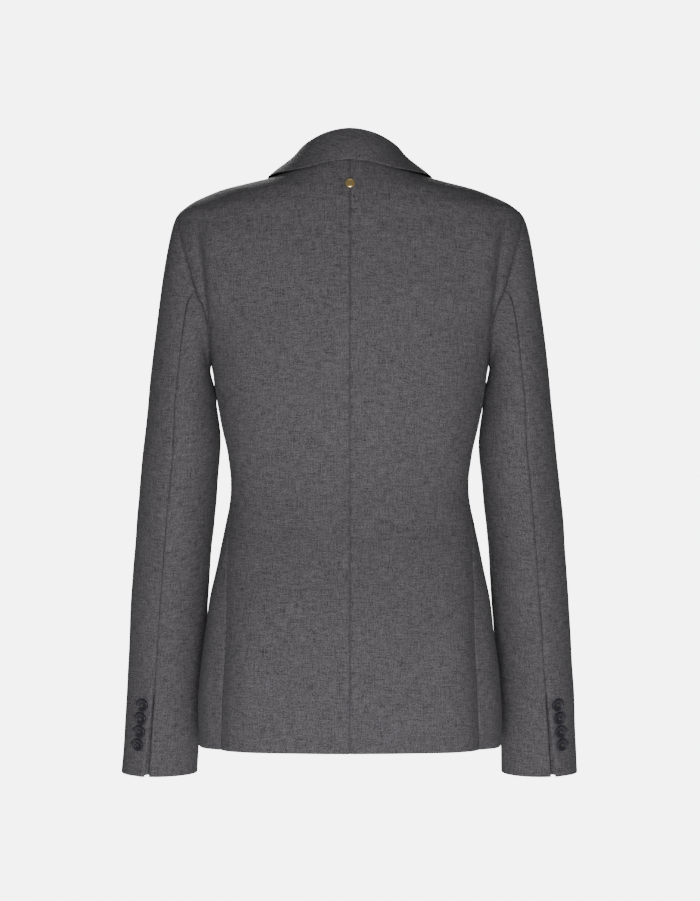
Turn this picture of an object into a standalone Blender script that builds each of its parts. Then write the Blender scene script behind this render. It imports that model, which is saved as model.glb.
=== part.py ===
"""Single breasted blazer, worn and hollow, as the cloth pieces that a maker cuts and sews.

Metres, +Z up. The wearer faces -Y, and +X is the wearer's left. The origin is the middle of
the neck base, where the wearer's shoulders hold the jacket. Every piece of cloth is an open
surface, worked out from the tables below, with a Solidify that gives it its thickness.
"""

import math

import bpy
import numpy as np
from mathutils import Vector

MM = 0.001

# Driving sizes of the cloth.
CLOTH = 1.6 * MM  # one wall of wool cloth with its interlining
SLEEVE_SEAM_GAP = 1.4 * MM  # between the sleeve's two pieces, where the curve is tighter
ARMHOLE_GAP = 1.6 * MM  # the sleeve starts this far from the armhole's edge, past the body's wall
SEAM_GAP = 1.1 * MM  # between the outer faces of two sewn pieces: 0.3 mm at the inner faces
LIFT = 2.8 * MM  # from the front's own surface to the surface of a piece that lies on it
CORNER = 50 * MM  # the rounding of each front's lower corner
OVERLAP = 18 * MM  # how far each front passes the centre
LAP_STEP = 2.9 * MM  # the upper front moves out by this, and the lower one moves in

# Heights on the centre back line, which also number the rings of the body.
HEM = -632 * MM
SEAM_JOIN = -165 * MM  # where the side back seam runs into the armhole
FRONT_JOIN = -180 * MM  # where the side front seam runs into it
TIP = -38 * MM  # shoulder tip
NECK = 22 * MM  # back neck seam

# The rings of the body. ring: height at the centre back. side, front: height at the side and
# at the centre front. half: half width. back, chest: depth from the side line. All in mm.
# round_b is the exponent of the back's superellipse: 2 is an ellipse, more is squarer.
RING_COLUMNS = ("ring", "side", "front", "half", "back", "chest", "round_b")
RINGS = (
    (-632, -632, -632, 169.0, 112.0, 126.0, 2.6),
    (-580, -580, -580, 169.0, 114.5, 130.0, 2.6),
    (-536, -536, -536, 165.5, 114.0, 131.0, 2.6),
    (-500, -500, -500, 161.0, 111.0, 130.0, 2.6),
    (-470, -470, -470, 157.0, 106.0, 128.0, 2.6),
    (-425, -425, -425, 147.0, 95.0, 121.0, 2.6),
    (-380, -380, -380, 138.0, 84.0, 113.0, 2.6),
    (-347, -347, -347, 133.5, 79.5, 108.0, 2.6),
    (-314, -314, -314, 136.0, 82.0, 110.0, 2.6),
    (-270, -270, -270, 144.5, 91.0, 121.0, 2.6),
    (-235, -235, -235, 150.5, 99.0, 133.0, 2.6),
    (-190, -190, -190, 159.0, 105.5, 137.0, 2.6),
    (-150, -150, -150, 172.0, 108.0, 130.0, 2.5),
    (-130, -130, -130, 181.5, 108.0, 125.0, 2.5),
    (-100, -100, -100, 190.0, 106.0, 115.0, 2.5),
    (-75, -75, -75, 195.0, 103.5, 106.0, 2.5),
    (-50, -50, -50, 195.0, 99.5, 97.0, 2.4),
    (-38, -37, -43, 190.0, 97.0, 92.0, 2.4),
    (-33, -31, -39, 182.0, 96.0, 89.0, 2.4),
    (-26, -22, -35, 166.0, 94.0, 85.0, 2.3),
    (-16, -13.5, -30, 145.0, 91.0, 80.0, 2.3),
    (-4, -6, -25, 116.0, 86.5, 74.0, 2.2),
    (10, -1, -20, 92.0, 80.5, 68.0, 2.2),
    (22, 5, -16, 73.0, 74.0, 62.0, 2.2),
)
ROUND_F = 2.3  # the chest's exponent

# The side seams, as shares of the ring's half width at which they cross it.
SEAM_COLUMNS = ("ring", "behind", "before")
SEAMS = (
    (-632, 0.885, 0.86),
    (-580, 0.875, 0.86),
    (-536, 0.877, 0.87),
    (-470, 0.903, 0.89),
    (-425, 0.945, 0.91),
    (-391, 0.972, 0.925),
    (-347, 0.982, 0.94),
    (-270, 0.982, 0.955),
    (-165, 0.975, 0.965),
)

# The armhole, as an egg in the side view.
ARM_MIDDLE = -121 * MM
ARM_HALF_HEIGHT = 84 * MM
ARM_BEHIND = 50 * MM
ARM_BEFORE = 54 * MM
ARM_ROUND = 2.2

# The two folds that the cloth takes on each side of the back. ring: height in mm.
# seam_depth: how far the side back seam sinks in. blade_x: where the fold at the armhole
# runs, from the centre. blade_depth: how far it sinks in. All in mm.
FOLD_COLUMNS = ("ring", "seam_depth", "blade_x", "blade_depth")
FOLDS = (
    (-632, 7.0, 150, 0.0),
    (-560, 7.5, 150, 0.0),
    (-470, 5.0, 150, 0.0),
    (-391, 1.5, 150, 0.0),
    (-347, 0.0, 150, 0.0),
    (-200, 0.0, 156, 0.0),
    (-145, 0.0, 160, 2.0),
    (-100, 0.0, 165, 3.5),
    (-65, 0.0, 169, 2.5),
    (-45, 0.0, 172, 0.0),
    (22, 0.0, 173, 0.0),
)
SEAM_FOLD_WIDTH = 15 * MM
BLADE_FOLD_WIDTH = 8 * MM
BLADE_RIDGE_BACK = 17 * MM  # the soft ridge runs this far inside the fold
BLADE_RIDGE_SHARE = 0.9

# The sleeve below the armhole, as ellipses. z: height. outer, inner: edges from the centre.
# middle: y of the axis. half_depth: front to back. All in mm.
SLEEVE_COLUMNS = ("z", "outer", "inner", "middle", "half_depth")
SLEEVE = (
    (-250, 226.0, 152.0, -8.0, 61.0),
    (-290, 231.0, 147.5, -10.0, 59.5),
    (-330, 235.0, 149.0, -14.0, 57.0),
    (-380, 240.0, 153.5, -21.0, 54.0),
    (-430, 244.5, 157.5, -30.0, 51.0),
    (-480, 248.5, 161.0, -40.0, 48.0),
    (-540, 252.5, 165.5, -51.0, 45.0),
    (-600, 256.5, 170.0, -62.0, 42.0),
    (-667, 261.0, 174.0, -74.0, 40.0),
)
CUFF = -667 * MM
SLEEVE_TOP = -250 * MM
# Turns round the sleeve, in degrees: 0 is behind, 90 outside, 180 in front, 270 inside.
# hind and fore are its two seams, and slit is how far the cuff slit is open, in mm.
TURN_COLUMNS = ("z", "hind", "fore", "slit")
TURNS = (
    (-667, 18.0, 218.0, 3.6),
    (-620, 15.5, 217.0, 1.6),
    (-564, 13.0, 216.0, 0.0),
    (-480, 12.0, 215.0, 0.0),
    (-330, 11.0, 213.0, 0.0),
    (-250, 9.0, 212.0, 0.0),
    (-121, -4.0, 210.0, 0.0),
)

# The collar's fold, from the centre back round to the front, in mm. It then goes on down the
# roll line of the lapel.
FOLD_LINE = (
    (0, 62, 51.5),
    (25, 57.5, 47.5),
    (46, 43, 38.5),
    (59, 20, 29),
    (65.5, -5, 18.5),
    (67.5, -26, 4),
)
ROLL_TOP_X = 66 * MM  # the roll line is straight in the front view
ROLL_TOP_Z = -3 * MM
BREAK_X = -16 * MM
BREAK_Z = -318 * MM
GORGE = (51.5 * MM, -52 * MM)  # x and z where the collar and the lapel meet on the roll line
NOTCH = (98 * MM, -78 * MM)
NOTCH_SHARE = 0.72  # the notch's place between the fold and the tip, along the collar's end
COLLAR_LIFT = 2.9 * MM  # the collar's edge above the body
FOLD_LIFT = 2.2 * MM  # how much higher its fold lies in front
COLLAR_ROLL = 2.2 * MM  # how far the fall bulges out between its fold and its edge
COLLAR_TIP = (110 * MM, -60 * MM)
LAPEL_TIP = (127 * MM, -94 * MM)
LAPEL_BELLY = 9 * MM  # how far the lapel's free edge bows out of a straight line
LAPEL_FOOT = 3 * MM  # the width at which the lapel starts, at the break
LAPEL_ROLL = 1.4 * MM  # how far its middle stands off the front
# The collar's free edge on the body: ring in mm and turn in degrees from the centre back.
EDGE_COLUMNS = ("share", "ring", "turn")
COLLAR_EDGE = (
    (0.0, 14.5, 0),
    (0.15, 12.5, 18),
    (0.30, 8.5, 37),
    (0.42, 8.5, 60),
    (0.52, 10.0, 90),
    (0.62, 4.0, 109),
    (0.72, -4.0, 117),
    (0.82, -16.0, 123.5),
    (0.92, -34.0, 127),
)

# Buttons and the plain stud at the back neck.
CUFF_BUTTON = 15 * MM
CUFF_BUTTON_HEIGHTS = (-583.0 * MM, -598.5 * MM, -614.0 * MM, -629.5 * MM)
CUFF_BUTTON_TURN = (29.0, 30.5, 31.5, 33.0)
FRONT_BUTTON = 20 * MM
FRONT_BUTTON_HEIGHT = -330 * MM
STUD = 11 * MM
STUD_HEIGHT = -12 * MM

WOOL = ("charcoal_wool", (0.105, 0.102, 0.108, 1.0), 0.9, 0.0)
HORN = ("dark_button", (0.035, 0.034, 0.042, 1.0), 0.35, 0.0)
GOLD = ("plain_gold", (0.83, 0.62, 0.27, 1.0), 0.25, 1.0)


def clear_scene():
    for obj in list(bpy.data.objects):
        bpy.data.objects.remove(obj, do_unlink=True)


def material(name, colour, roughness, metallic):
    found = bpy.data.materials.get(name)
    if found:
        return found
    made = bpy.data.materials.new(name)
    made.use_nodes = True
    shader = made.node_tree.nodes["Principled BSDF"]
    shader.inputs["Base Color"].default_value = colour
    shader.inputs["Roughness"].default_value = roughness
    shader.inputs["Metallic"].default_value = metallic
    made.diffuse_color = colour
    return made


def smooth(xs, ys, at):
    """A curve through the points (xs, ys): cubic pieces whose slope at each point is that
    of the line between its two neighbours."""
    xs = np.asarray(xs, float)
    ys = np.asarray(ys, float)
    order = np.argsort(xs)
    xs, ys = xs[order], ys[order]
    slope = np.gradient(ys, xs)
    at = np.clip(at, xs[0], xs[-1])
    i = np.clip(np.searchsorted(xs, at) - 1, 0, len(xs) - 2)
    step = xs[i + 1] - xs[i]
    t = (at - xs[i]) / step
    rise = ys[i] * (1 + 2 * t) * (1 - t) ** 2 + ys[i + 1] * t * t * (3 - 2 * t)
    return rise + step * (slope[i] * t * (1 - t) ** 2 - slope[i + 1] * t * t * (1 - t))


def column(table, columns, name, at):
    """One column of a table in millimetres, at a key in metres, as a smooth curve."""
    key = [row[0] for row in table]
    return smooth(key, [row[columns.index(name)] for row in table], np.asarray(at) / MM)


def ring_sizes(ring):
    half = column(RINGS, RING_COLUMNS, "half", ring) * MM
    back = column(RINGS, RING_COLUMNS, "back", ring) * MM
    chest = column(RINGS, RING_COLUMNS, "chest", ring) * MM
    round_b = column(RINGS, RING_COLUMNS, "round_b", ring)
    return half, back, chest, round_b


def turn_at(x, ring, behind):
    """The turn, from the centre back, at which a ring is x away from the centre plane."""
    half, back, chest, round_b = ring_sizes(ring)
    depth = np.where(behind, back, chest)
    power = np.where(behind, round_b, ROUND_F)
    away = depth * (1 - np.minimum(np.abs(x) / half, 1) ** power) ** (1 / power)
    return np.arctan2(x, np.where(behind, away, -away))


def folds(turn, ring, reach, x):
    """How far the cloth sinks in at the side back seam and at the fold by the armhole."""
    seam = seam_turn(ring, "behind")
    depth = column(FOLDS, FOLD_COLUMNS, "seam_depth", ring) * MM
    sunk = depth * np.exp(-(((turn - seam) * reach / SEAM_FOLD_WIDTH) ** 2))
    blade_x = column(FOLDS, FOLD_COLUMNS, "blade_x", ring) * MM
    blade = column(FOLDS, FOLD_COLUMNS, "blade_depth", ring) * MM
    behind = turn < math.pi / 2
    sunk = sunk + behind * blade * np.exp(-(((x - blade_x) / BLADE_FOLD_WIDTH) ** 2))
    ridge_x = blade_x - BLADE_RIDGE_BACK
    rise = blade * BLADE_RIDGE_SHARE * np.exp(-(((x - ridge_x) / (1.4 * BLADE_FOLD_WIDTH)) ** 2))
    return sunk - behind * rise


def body(turn, ring):
    """The point of the body's surface at a turn (radians, 0 at the centre back, a quarter
    turn at the side, a half at the centre front) on a ring, as x, y, z stacked last."""
    turn, ring = np.broadcast_arrays(np.asarray(turn, float), np.asarray(ring, float))
    half, back, chest, round_b = ring_sizes(ring)
    behind = np.cos(turn) > 0
    depth = np.where(behind, back, chest)
    power = np.where(behind, round_b, ROUND_F)
    across = np.abs(np.sin(turn)) / half
    along = np.abs(np.cos(turn)) / depth
    reach = (across**power + along**power) ** (-1 / power)
    reach = reach - folds(turn, ring, reach, reach * np.sin(turn))
    side = column(RINGS, RING_COLUMNS, "side", ring) * MM
    front = column(RINGS, RING_COLUMNS, "front", ring) * MM
    end = np.where(behind, ring, front)
    z = side + (end - side) * np.cos(turn) ** 2
    return np.stack([reach * np.sin(turn), reach * np.cos(turn), z], axis=-1)


def lifted(turn, ring, by):
    """A point of the body moved straight out of its surface."""
    small = 1e-4
    here = body(turn, ring)
    round_it = body(np.asarray(turn) + small, ring) - here
    down = np.where(np.asarray(ring) > HEM + small, -small, small)
    up_it = (body(turn, np.asarray(ring) + down) - here) * np.sign(down)[..., None]
    out = np.cross(up_it, round_it)
    out /= np.linalg.norm(out, axis=-1, keepdims=True)
    return here + out * np.asarray(by)[..., None]


def seam_turn(ring, name):
    """The turn of a side seam. Above its top it keeps the share that it has there."""
    half = ring_sizes(ring)[0]
    share = column(SEAMS, SEAM_COLUMNS, name, ring)
    return turn_at(share * half, ring, name == "behind")


def armhole_y(z, behind):
    """How far the egg of the armhole reaches behind or before its middle at a height."""
    up = np.minimum(np.abs(z - ARM_MIDDLE) / ARM_HALF_HEIGHT, 1)
    reach = ARM_BEHIND if behind else -ARM_BEFORE
    return reach * (1 - up**ARM_ROUND) ** (1 / ARM_ROUND)


def armhole_turn(ring, behind):
    """The turn at which a ring meets the armhole."""
    half, back, chest, round_b = ring_sizes(ring)
    y = armhole_y(ring, behind)
    depth = back if behind else chest
    power = round_b if behind else ROUND_F
    x = half * (1 - (np.abs(y) / depth) ** power) ** (1 / power)
    return np.arctan2(x, y)


def roll_x(z):
    """The roll line of the lapel, straight in the front view."""
    return ROLL_TOP_X + (BREAK_X - ROLL_TOP_X) * (z - ROLL_TOP_Z) / (BREAK_Z - ROLL_TOP_Z)


def spaced(*stretches):
    """Numbers in a row: each stretch is (start, end, steps) and shares its end."""
    runs = [np.linspace(a, b, n + 1)[:-1] for a, b, n in stretches]
    return np.concatenate(runs + [[stretches[-1][1]]])


def inset(grid, sides, by=SEAM_GAP / 2):
    """Draws the named edges of a grid in by half a seam gap, along the cloth."""
    grid = grid.copy()
    lines = {
        "start": (np.s_[:, 0], np.s_[:, 1]),
        "end": (np.s_[:, -1], np.s_[:, -2]),
        "low": (np.s_[0], np.s_[1]),
        "high": (np.s_[-1], np.s_[-2]),
    }
    for side in sides:
        edge, inner = lines[side]
        way = grid[inner] - grid[edge]
        length = np.linalg.norm(way, axis=-1, keepdims=True)
        grid[edge] = grid[edge] + way / length * by
    return grid


def to_object(name, points, faces, finish, home):
    mesh = bpy.data.meshes.new(name)
    mesh.from_pydata(points, [], faces)
    mesh.update()
    obj = bpy.data.objects.new(name, mesh)
    obj.data.materials.append(material(*finish))
    home.objects.link(obj)
    return obj


def cloth(name, grid, axis, home, mirrored=False, thickness=CLOTH):
    """One piece of cloth: the grid is its outer face, and the wall goes in towards the axis,
    a function that gives the nearest point inside the garment for each point."""
    if mirrored:
        grid = grid * np.array([-1.0, 1.0, 1.0])
    rows, cols = grid.shape[:2]
    number = np.arange(rows * cols).reshape(rows, cols)
    corners = np.stack(
        [number[:-1, :-1], number[:-1, 1:], number[1:, 1:], number[1:, :-1]], axis=-1
    )
    faces = corners.reshape(-1, 4)
    normal = np.cross(grid[:-1, 1:] - grid[:-1, :-1], grid[1:, :-1] - grid[:-1, :-1])
    away = grid[:-1, :-1] - axis(grid[:-1, :-1])
    if (normal * away).sum() < 0:
        faces = faces[:, ::-1]
    obj = to_object(name, grid.reshape(-1, 3).tolist(), faces.tolist(), WOOL, home)
    wall = obj.modifiers.new("wall", "SOLIDIFY")
    wall.thickness = thickness
    wall.offset = -1
    wall.use_even_offset = True
    wall.use_rim = True
    return obj


def body_axis(points):
    """The point of the body's upright axis at the same height."""
    return points * np.array([0.0, 0.0, 1.0])


def sleeve_sizes(z):
    outer = column(SLEEVE, SLEEVE_COLUMNS, "outer", z) * MM
    inner = column(SLEEVE, SLEEVE_COLUMNS, "inner", z) * MM
    middle = column(SLEEVE, SLEEVE_COLUMNS, "middle", z) * MM
    half_depth = column(SLEEVE, SLEEVE_COLUMNS, "half_depth", z) * MM
    return (outer + inner) / 2, middle, (outer - inner) / 2, half_depth


def sleeve_lean(z):
    """How much the axis moves forward for each metre that it goes down."""
    small = 1e-3
    return (sleeve_sizes(z)[1] - sleeve_sizes(z - small)[1]) / small


def sleeve_ring(turn, z):
    """A point of the sleeve below the armhole. Its sections are square to the leaning axis."""
    x, y, half_width, half_depth = sleeve_sizes(z)
    behind = half_depth * np.cos(turn)
    lean = sleeve_lean(z) * np.clip((SLEEVE_TOP - z) / 0.1, 0, 1)
    return np.stack([x + half_width * np.sin(turn), y + behind, z - lean * behind], axis=-1)


def arm_loop(turn):
    """The armhole, as a loop on the body's surface: the top at a quarter turn."""
    flat = np.cos(turn)
    tall = np.sin(turn)
    reach = (np.abs(flat) ** ARM_ROUND + np.abs(tall) ** ARM_ROUND) ** (-1 / ARM_ROUND)
    y = np.where(flat > 0, ARM_BEHIND, ARM_BEFORE) * reach * flat
    z = ARM_MIDDLE + ARM_HALF_HEIGHT * reach * tall
    half, back, chest, round_b = ring_sizes(z)
    depth = np.where(y > 0, back, chest)
    power = np.where(y > 0, round_b, ROUND_F)
    x = half * (1 - (np.abs(y) / depth) ** power) ** (1 / power)
    return np.stack([x, y, z], axis=-1)


def sleeve(turn, down):
    """The sleeve's surface. down runs from 0 at the armhole to 1 at the first full ellipse
    and on to 2 at the cuff. The cap is a smooth curve from each point of the armhole, out
    over the shoulder's end and down to the ellipse."""
    turn, down = np.broadcast_arrays(np.asarray(turn, float), np.asarray(down, float))
    start = arm_loop(turn)
    end = sleeve_ring(turn, np.full(turn.shape, SLEEVE_TOP))
    drop = (start - end)[..., 2]
    top = (1 + np.sin(turn)) / 2
    leave = np.stack([0.018 + 0.017 * top, 0.012 * np.cos(turn), -0.12 * drop], axis=-1)
    arrive = np.stack([0.09 * drop, -0.03 * drop, -1.15 * drop], axis=-1)
    t = np.clip(down, 0, 1)[..., None]
    cap = (1 + 2 * t) * (1 - t) ** 2 * start + t * t * (3 - 2 * t) * end
    cap = cap + t * (1 - t) ** 2 * leave - t * t * (1 - t) * arrive
    z = SLEEVE_TOP + (CUFF - SLEEVE_TOP) * np.clip(down - 1, 0, 1)
    return np.where((down > 1)[..., None], sleeve_ring(turn, z), cap)


def sleeve_height(down):
    """The height that the seam tables use at a place down the sleeve."""
    cap = ARM_MIDDLE + (SLEEVE_TOP - ARM_MIDDLE) * np.clip(down, 0, 1)
    return np.where(down > 1, SLEEVE_TOP + (CUFF - SLEEVE_TOP) * (down - 1), cap)


def sleeve_axis(points):
    """The point of the sleeve's axis at the same height, or of the armhole's middle."""
    side = np.sign(points[..., :1])
    z = np.minimum(points[..., 2], SLEEVE_TOP)
    x, y, _, _ = sleeve_sizes(z)
    high = points[..., 2] > SLEEVE_TOP
    middle = np.stack([x, y, np.where(high, np.minimum(points[..., 2], ARM_MIDDLE), z)], axis=-1)
    return middle * np.concatenate([side, np.ones_like(side), np.ones_like(side)], axis=-1)


def arm_rows(join, steps):
    """Rings up the armhole from a seam's top to the shoulder tip, closer together near the
    tip, where the armhole turns over."""
    return join + (TIP - join) * np.sin(spaced((0, 1, steps)) * math.pi / 2)[1:]


def back_panel():
    """Half of the back: from the centre seam to the side seam, the armhole and the
    shoulder seam."""
    low = spaced((HEM, SEAM_JOIN, 13))
    ring = np.concatenate([low, arm_rows(SEAM_JOIN, 7), spaced((TIP, NECK, 5))[1:]])
    edge = seam_turn(ring, "behind")
    edge = np.where(ring > SEAM_JOIN, armhole_turn(ring, True), edge)
    edge = np.where(ring > TIP - 1e-6, math.pi / 2, edge)
    share = spaced((0, 1, 10)) ** 0.9
    return inset(body(share * edge[:, None], ring[:, None]), ("start", "end"))


def side_panel():
    """The narrow panel under the arm. Its top follows the bottom of the armhole."""
    share = spaced((0, 1, 6))
    steps = spaced((0, 1, 15))[:, None]
    behind_top = seam_turn(SEAM_JOIN, "behind")
    before_top = seam_turn(FRONT_JOIN, "before")
    turn_top = behind_top + (before_top - behind_top) * share
    top = armhole_bottom(turn_top)
    ring = HEM + (top - HEM) * steps
    behind = seam_turn(ring, "behind")
    before = seam_turn(ring, "before")
    turn = behind + (before - behind) * share
    grid = body(turn, ring)
    return inset(grid, ("start", "end", "high"))


def armhole_bottom(turn):
    """The height at which each turn meets the lower half of the armhole, found by halving."""
    low = np.full(np.shape(turn), ARM_MIDDLE - ARM_HALF_HEIGHT)
    high = np.full(np.shape(turn), ARM_MIDDLE)
    for _ in range(40):
        half_way = (low + high) / 2
        y = body(turn, half_way)[..., 1]
        reach = np.where(y > 0, armhole_y(half_way, True), -armhole_y(half_way, False))
        inside = np.abs(y) < reach
        high = np.where(inside, half_way, high)
        low = np.where(inside, low, half_way)
    return low


def lap_step(x, z, upper):
    """How far a front steps out or in, so that one passes over the other at the centre."""
    near = np.clip(1 - x / (60 * MM), 0, 1)
    below = np.clip((BREAK_Z + 120 * MM - z) / (60 * MM), 0, 1)
    return (LAP_STEP if upper else -LAP_STEP) * near**2 * (3 - 2 * near) * below**2 * (3 - 2 * below)


def front_panel(upper):
    """One front, from the side seam to the front edge or, above the break, to the roll line.
    The upper front lies on the lower one where they pass the centre."""
    foot = FRONT_BUTTON_HEIGHT - 12 * MM
    corner = HEM + CORNER
    low = spaced((HEM, corner, 3), (corner, foot, 6), (foot, BREAK_Z, 1), (BREAK_Z, FRONT_JOIN, 4))
    ring = np.concatenate([low, arm_rows(FRONT_JOIN, 7), spaced((TIP, NECK, 5))[1:]])
    start = seam_turn(ring, "before")
    start = np.where(ring > FRONT_JOIN, armhole_turn(ring, False), start)
    start = np.where(ring > TIP - 1e-6, math.pi / 2, start)
    round_off = np.clip((HEM + CORNER - ring) / CORNER, 0, 1)
    past = -OVERLAP + CORNER * (1 - np.sqrt(1 - round_off**2)) * 0.8
    edge_x = np.where(ring > BREAK_Z, roll_x(ring), past)
    edge_x = np.minimum(edge_x, ROLL_TOP_X)
    end = turn_at(edge_x, ring, np.zeros(ring.shape, bool))
    end = np.where(end < 0, end + 2 * math.pi, end)
    share = spaced((0, 1, 9))
    turn = start[:, None] + (end - start)[:, None] * share
    step = lap_step(body(turn, ring[:, None])[..., 0], ring[:, None], upper)
    return inset(lifted(turn, ring[:, None], step), ("start",))


def on_front(x, z, by):
    """The point over the front at x and z, moved out of the surface."""
    ring = np.asarray(z, float)
    turn = turn_at(np.asarray(x, float), ring, np.zeros(ring.shape, bool))
    turn = np.where(turn < 0, turn + 2 * math.pi, turn)
    return lifted(turn, ring, by)


def lapel_panel(upper):
    """The turned back lapel: from the roll line to its free edge, laid on the front."""
    up = spaced((0, 1, 12))[:, None]
    out = spaced((0, 1, 5))
    inner_z = BREAK_Z + (GORGE[1] - BREAK_Z) * up
    inner_x = roll_x(inner_z)
    belly = LAPEL_BELLY * np.sin(math.pi * up) ** 1.5
    outer_z = BREAK_Z + (LAPEL_TIP[1] - BREAK_Z) * up
    outer_x = BREAK_X + (LAPEL_TIP[0] - BREAK_X) * up**0.9 + belly
    x = inner_x + (outer_x - inner_x) * out
    z = inner_z + (outer_z - inner_z) * out
    x = x + LAPEL_FOOT * out * (1 - up) ** 6
    by = LIFT + LAPEL_ROLL * np.sin(math.pi * out) * np.sin(math.pi * np.clip(up, 0, 1)) ** 0.5
    by = by + lap_step(x, z, upper)
    return inset(on_front(x, z, by), ("high",))


def fold_line(share):
    """The collar's fold from the centre back (0) to the gorge (1)."""
    level = FOLD_LINE[1] * np.array([-1, 1, 1])  # keeps the fold level at the centre back
    points = [np.array(p, float) * MM for p in (level, *FOLD_LINE)]
    start = ROLL_TOP_Z - 12 * MM
    for part in (0.35, 0.7, 1.0):
        z = start + (GORGE[1] - start) * part
        points.append(on_front(roll_x(z), z, 1.2 * LIFT))
    points = np.array(points)
    run = np.concatenate([[0], np.cumsum(np.linalg.norm(np.diff(points, axis=0), axis=1))])
    run -= run[1]
    at = np.asarray(share) * run[-1]
    return np.stack([smooth(run, points[:, k], at) for k in range(3)], axis=-1)


def collar_edge_place(share):
    """The turn and ring of the collar's free edge, from the centre back to its tip."""
    shares = [row[0] for row in COLLAR_EDGE] + [1.0]
    tip_z = np.array(COLLAR_TIP[1])
    tip_turn = float(turn_at(np.array(COLLAR_TIP[0]), tip_z, np.array(False)))
    rings = [row[1] * MM for row in COLLAR_EDGE] + [COLLAR_TIP[1]]
    turns = [math.radians(row[2]) for row in COLLAR_EDGE] + [tip_turn]
    ring = smooth(shares, rings, share)
    turn = smooth(shares, turns, share)
    return turn, ring


def under(points):
    """The turn and ring of the body that lie straight under points over the front."""
    ring = np.minimum(points[..., 2], NECK - 1 * MM)
    turn = turn_at(points[..., 0], ring, np.zeros(ring.shape, bool))
    return turn, ring


def collar_panel():
    """The collar's fall, from the fold to the free edge, for the wearer's left half. Behind,
    it stands off the body in a straight slope. In front, it lies on the chest."""
    share = spaced((0, 1, 16))[:, None]
    out = spaced((0, 1, 5))
    fold = fold_line(share[:, 0])[:, None]
    edge_turn, edge_ring = collar_edge_place(share)
    edge = lifted(edge_turn, edge_ring, np.full(share.shape, COLLAR_LIFT))
    grid = fold + (edge - fold) * out[:, None]
    bulge = COLLAR_ROLL * np.sin(math.pi * out) * (1 - share**3)
    fold_turn, fold_ring = under(fold)
    notch_turn, notch_ring = under(np.array([NOTCH[0], 0.0, NOTCH[1]]))
    pull = np.clip((share - 0.72) / 0.28, 0, 1) ** 2

    def lay(fold_value, notch_value, edge_value):
        """Values between the fold and the edge, bent at the end to pass the notch."""
        value = fold_value + (edge_value - fold_value) * out
        bent = np.interp(out, (0, NOTCH_SHARE, 1), (fold_value[-1, 0], notch_value, edge_value[-1, 0]))
        return value + (bent - value[-1]) * pull

    turn = lay(fold_turn, notch_turn, edge_turn)
    ring = lay(fold_ring, notch_ring, edge_ring)
    lying = lifted(turn, ring, np.full(turn.shape, COLLAR_LIFT) + FOLD_LIFT * (1 - out))
    settle = np.clip((share - 0.52) / 0.24, 0, 1)[..., None]
    settle = settle * settle * (3 - 2 * settle)
    way = edge - fold
    along = np.gradient(fold, axis=0)
    normal = np.cross(along, way)
    normal /= np.linalg.norm(normal, axis=-1, keepdims=True)
    grid = grid + normal * bulge[..., None]
    grid = grid + (lying - grid) * settle
    return inset(grid, ("high",))


def stand_panel():
    """The collar's stand, from the back neck seam up to the fold, for the left half."""
    share = spaced((0, 0.56, 10))
    top = fold_line(share) - np.array([0, 0, 2.8 * MM])
    top[:, :2] *= 0.97
    turn = share / 0.56 * math.radians(98)
    low = body(turn, np.full(share.shape, NECK)) + np.array([0, 0, 0.5 * MM])
    up = spaced((0, 1, 3))
    return low[:, None] + (top - low)[:, None] * up[:, None]


def whole(half):
    """Both halves of a grid whose first line lies on the centre plane."""
    half = half.copy()
    half[0, :, 0] = 0
    other = half[:0:-1] * np.array([-1.0, 1.0, 1.0])
    return np.concatenate([other, half])


def neck_axis(points):
    return points * np.array([0.0, 0.0, 1.0])


def upper_sleeve():
    """The outer piece of the sleeve, from the hind seam round the outside to the fore seam."""
    down = spaced((0, 1, 8), (1, 2, 12))
    z = sleeve_height(down)
    hind = np.radians(column(TURNS, TURN_COLUMNS, "hind", z))
    fore = np.radians(column(TURNS, TURN_COLUMNS, "fore", z))
    slit = column(TURNS, TURN_COLUMNS, "slit", z) * MM / 2 / (42 * MM)
    share = spaced((0, 1, 10))
    start = (hind + slit)[:, None]
    turn = start + (fore[:, None] - start) * share
    grid = inset(sleeve(turn, down[:, None]), ("start", "end"), SLEEVE_SEAM_GAP / 2)
    past = ARMHOLE_GAP * (1 + np.clip(np.sin(turn[0]), 0, 1) ** 4)
    return inset(grid, ("low",), past[:, None])


def under_sleeve():
    """The inner piece, from the fore seam round the inside to the hind seam."""
    down = spaced((0, 1, 8), (1, 2, 12))
    z = sleeve_height(down)
    hind = np.radians(column(TURNS, TURN_COLUMNS, "hind", z)) + 2 * math.pi
    fore = np.radians(column(TURNS, TURN_COLUMNS, "fore", z))
    slit = column(TURNS, TURN_COLUMNS, "slit", z) * MM / 2 / (42 * MM)
    share = spaced((0, 1, 7))
    end = (hind - slit)[:, None]
    turn = fore[:, None] + (end - fore[:, None]) * share
    grid = inset(sleeve(turn, down[:, None]), ("start", "end"), SLEEVE_SEAM_GAP / 2)
    past = ARMHOLE_GAP * (1 + np.clip(np.sin(turn[0]), 0, 1) ** 4)
    return inset(grid, ("low",), past[:, None])


def turned(name, profile, place, facing, finish, home, steps=20):
    """A solid of revolution: the profile is radius and height, and it faces a direction."""
    mesh = bpy.data.meshes.new(name)
    points = [(r, 0.0, h) for r, h in profile]
    edges = [(i, i + 1) for i in range(len(points) - 1)]
    mesh.from_pydata(points, edges, [])
    obj = bpy.data.objects.new(name, mesh)
    obj.data.materials.append(material(*finish))
    home.objects.link(obj)
    spin = obj.modifiers.new("turn", "SCREW")
    spin.steps = steps
    spin.render_steps = steps
    spin.use_merge_vertices = True
    spin.merge_threshold = 1e-5
    spin.use_normal_calculate = True
    obj.location = place
    obj.rotation_mode = "QUATERNION"
    obj.rotation_quaternion = facing.to_track_quat("Z", "Y")
    return obj


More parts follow.
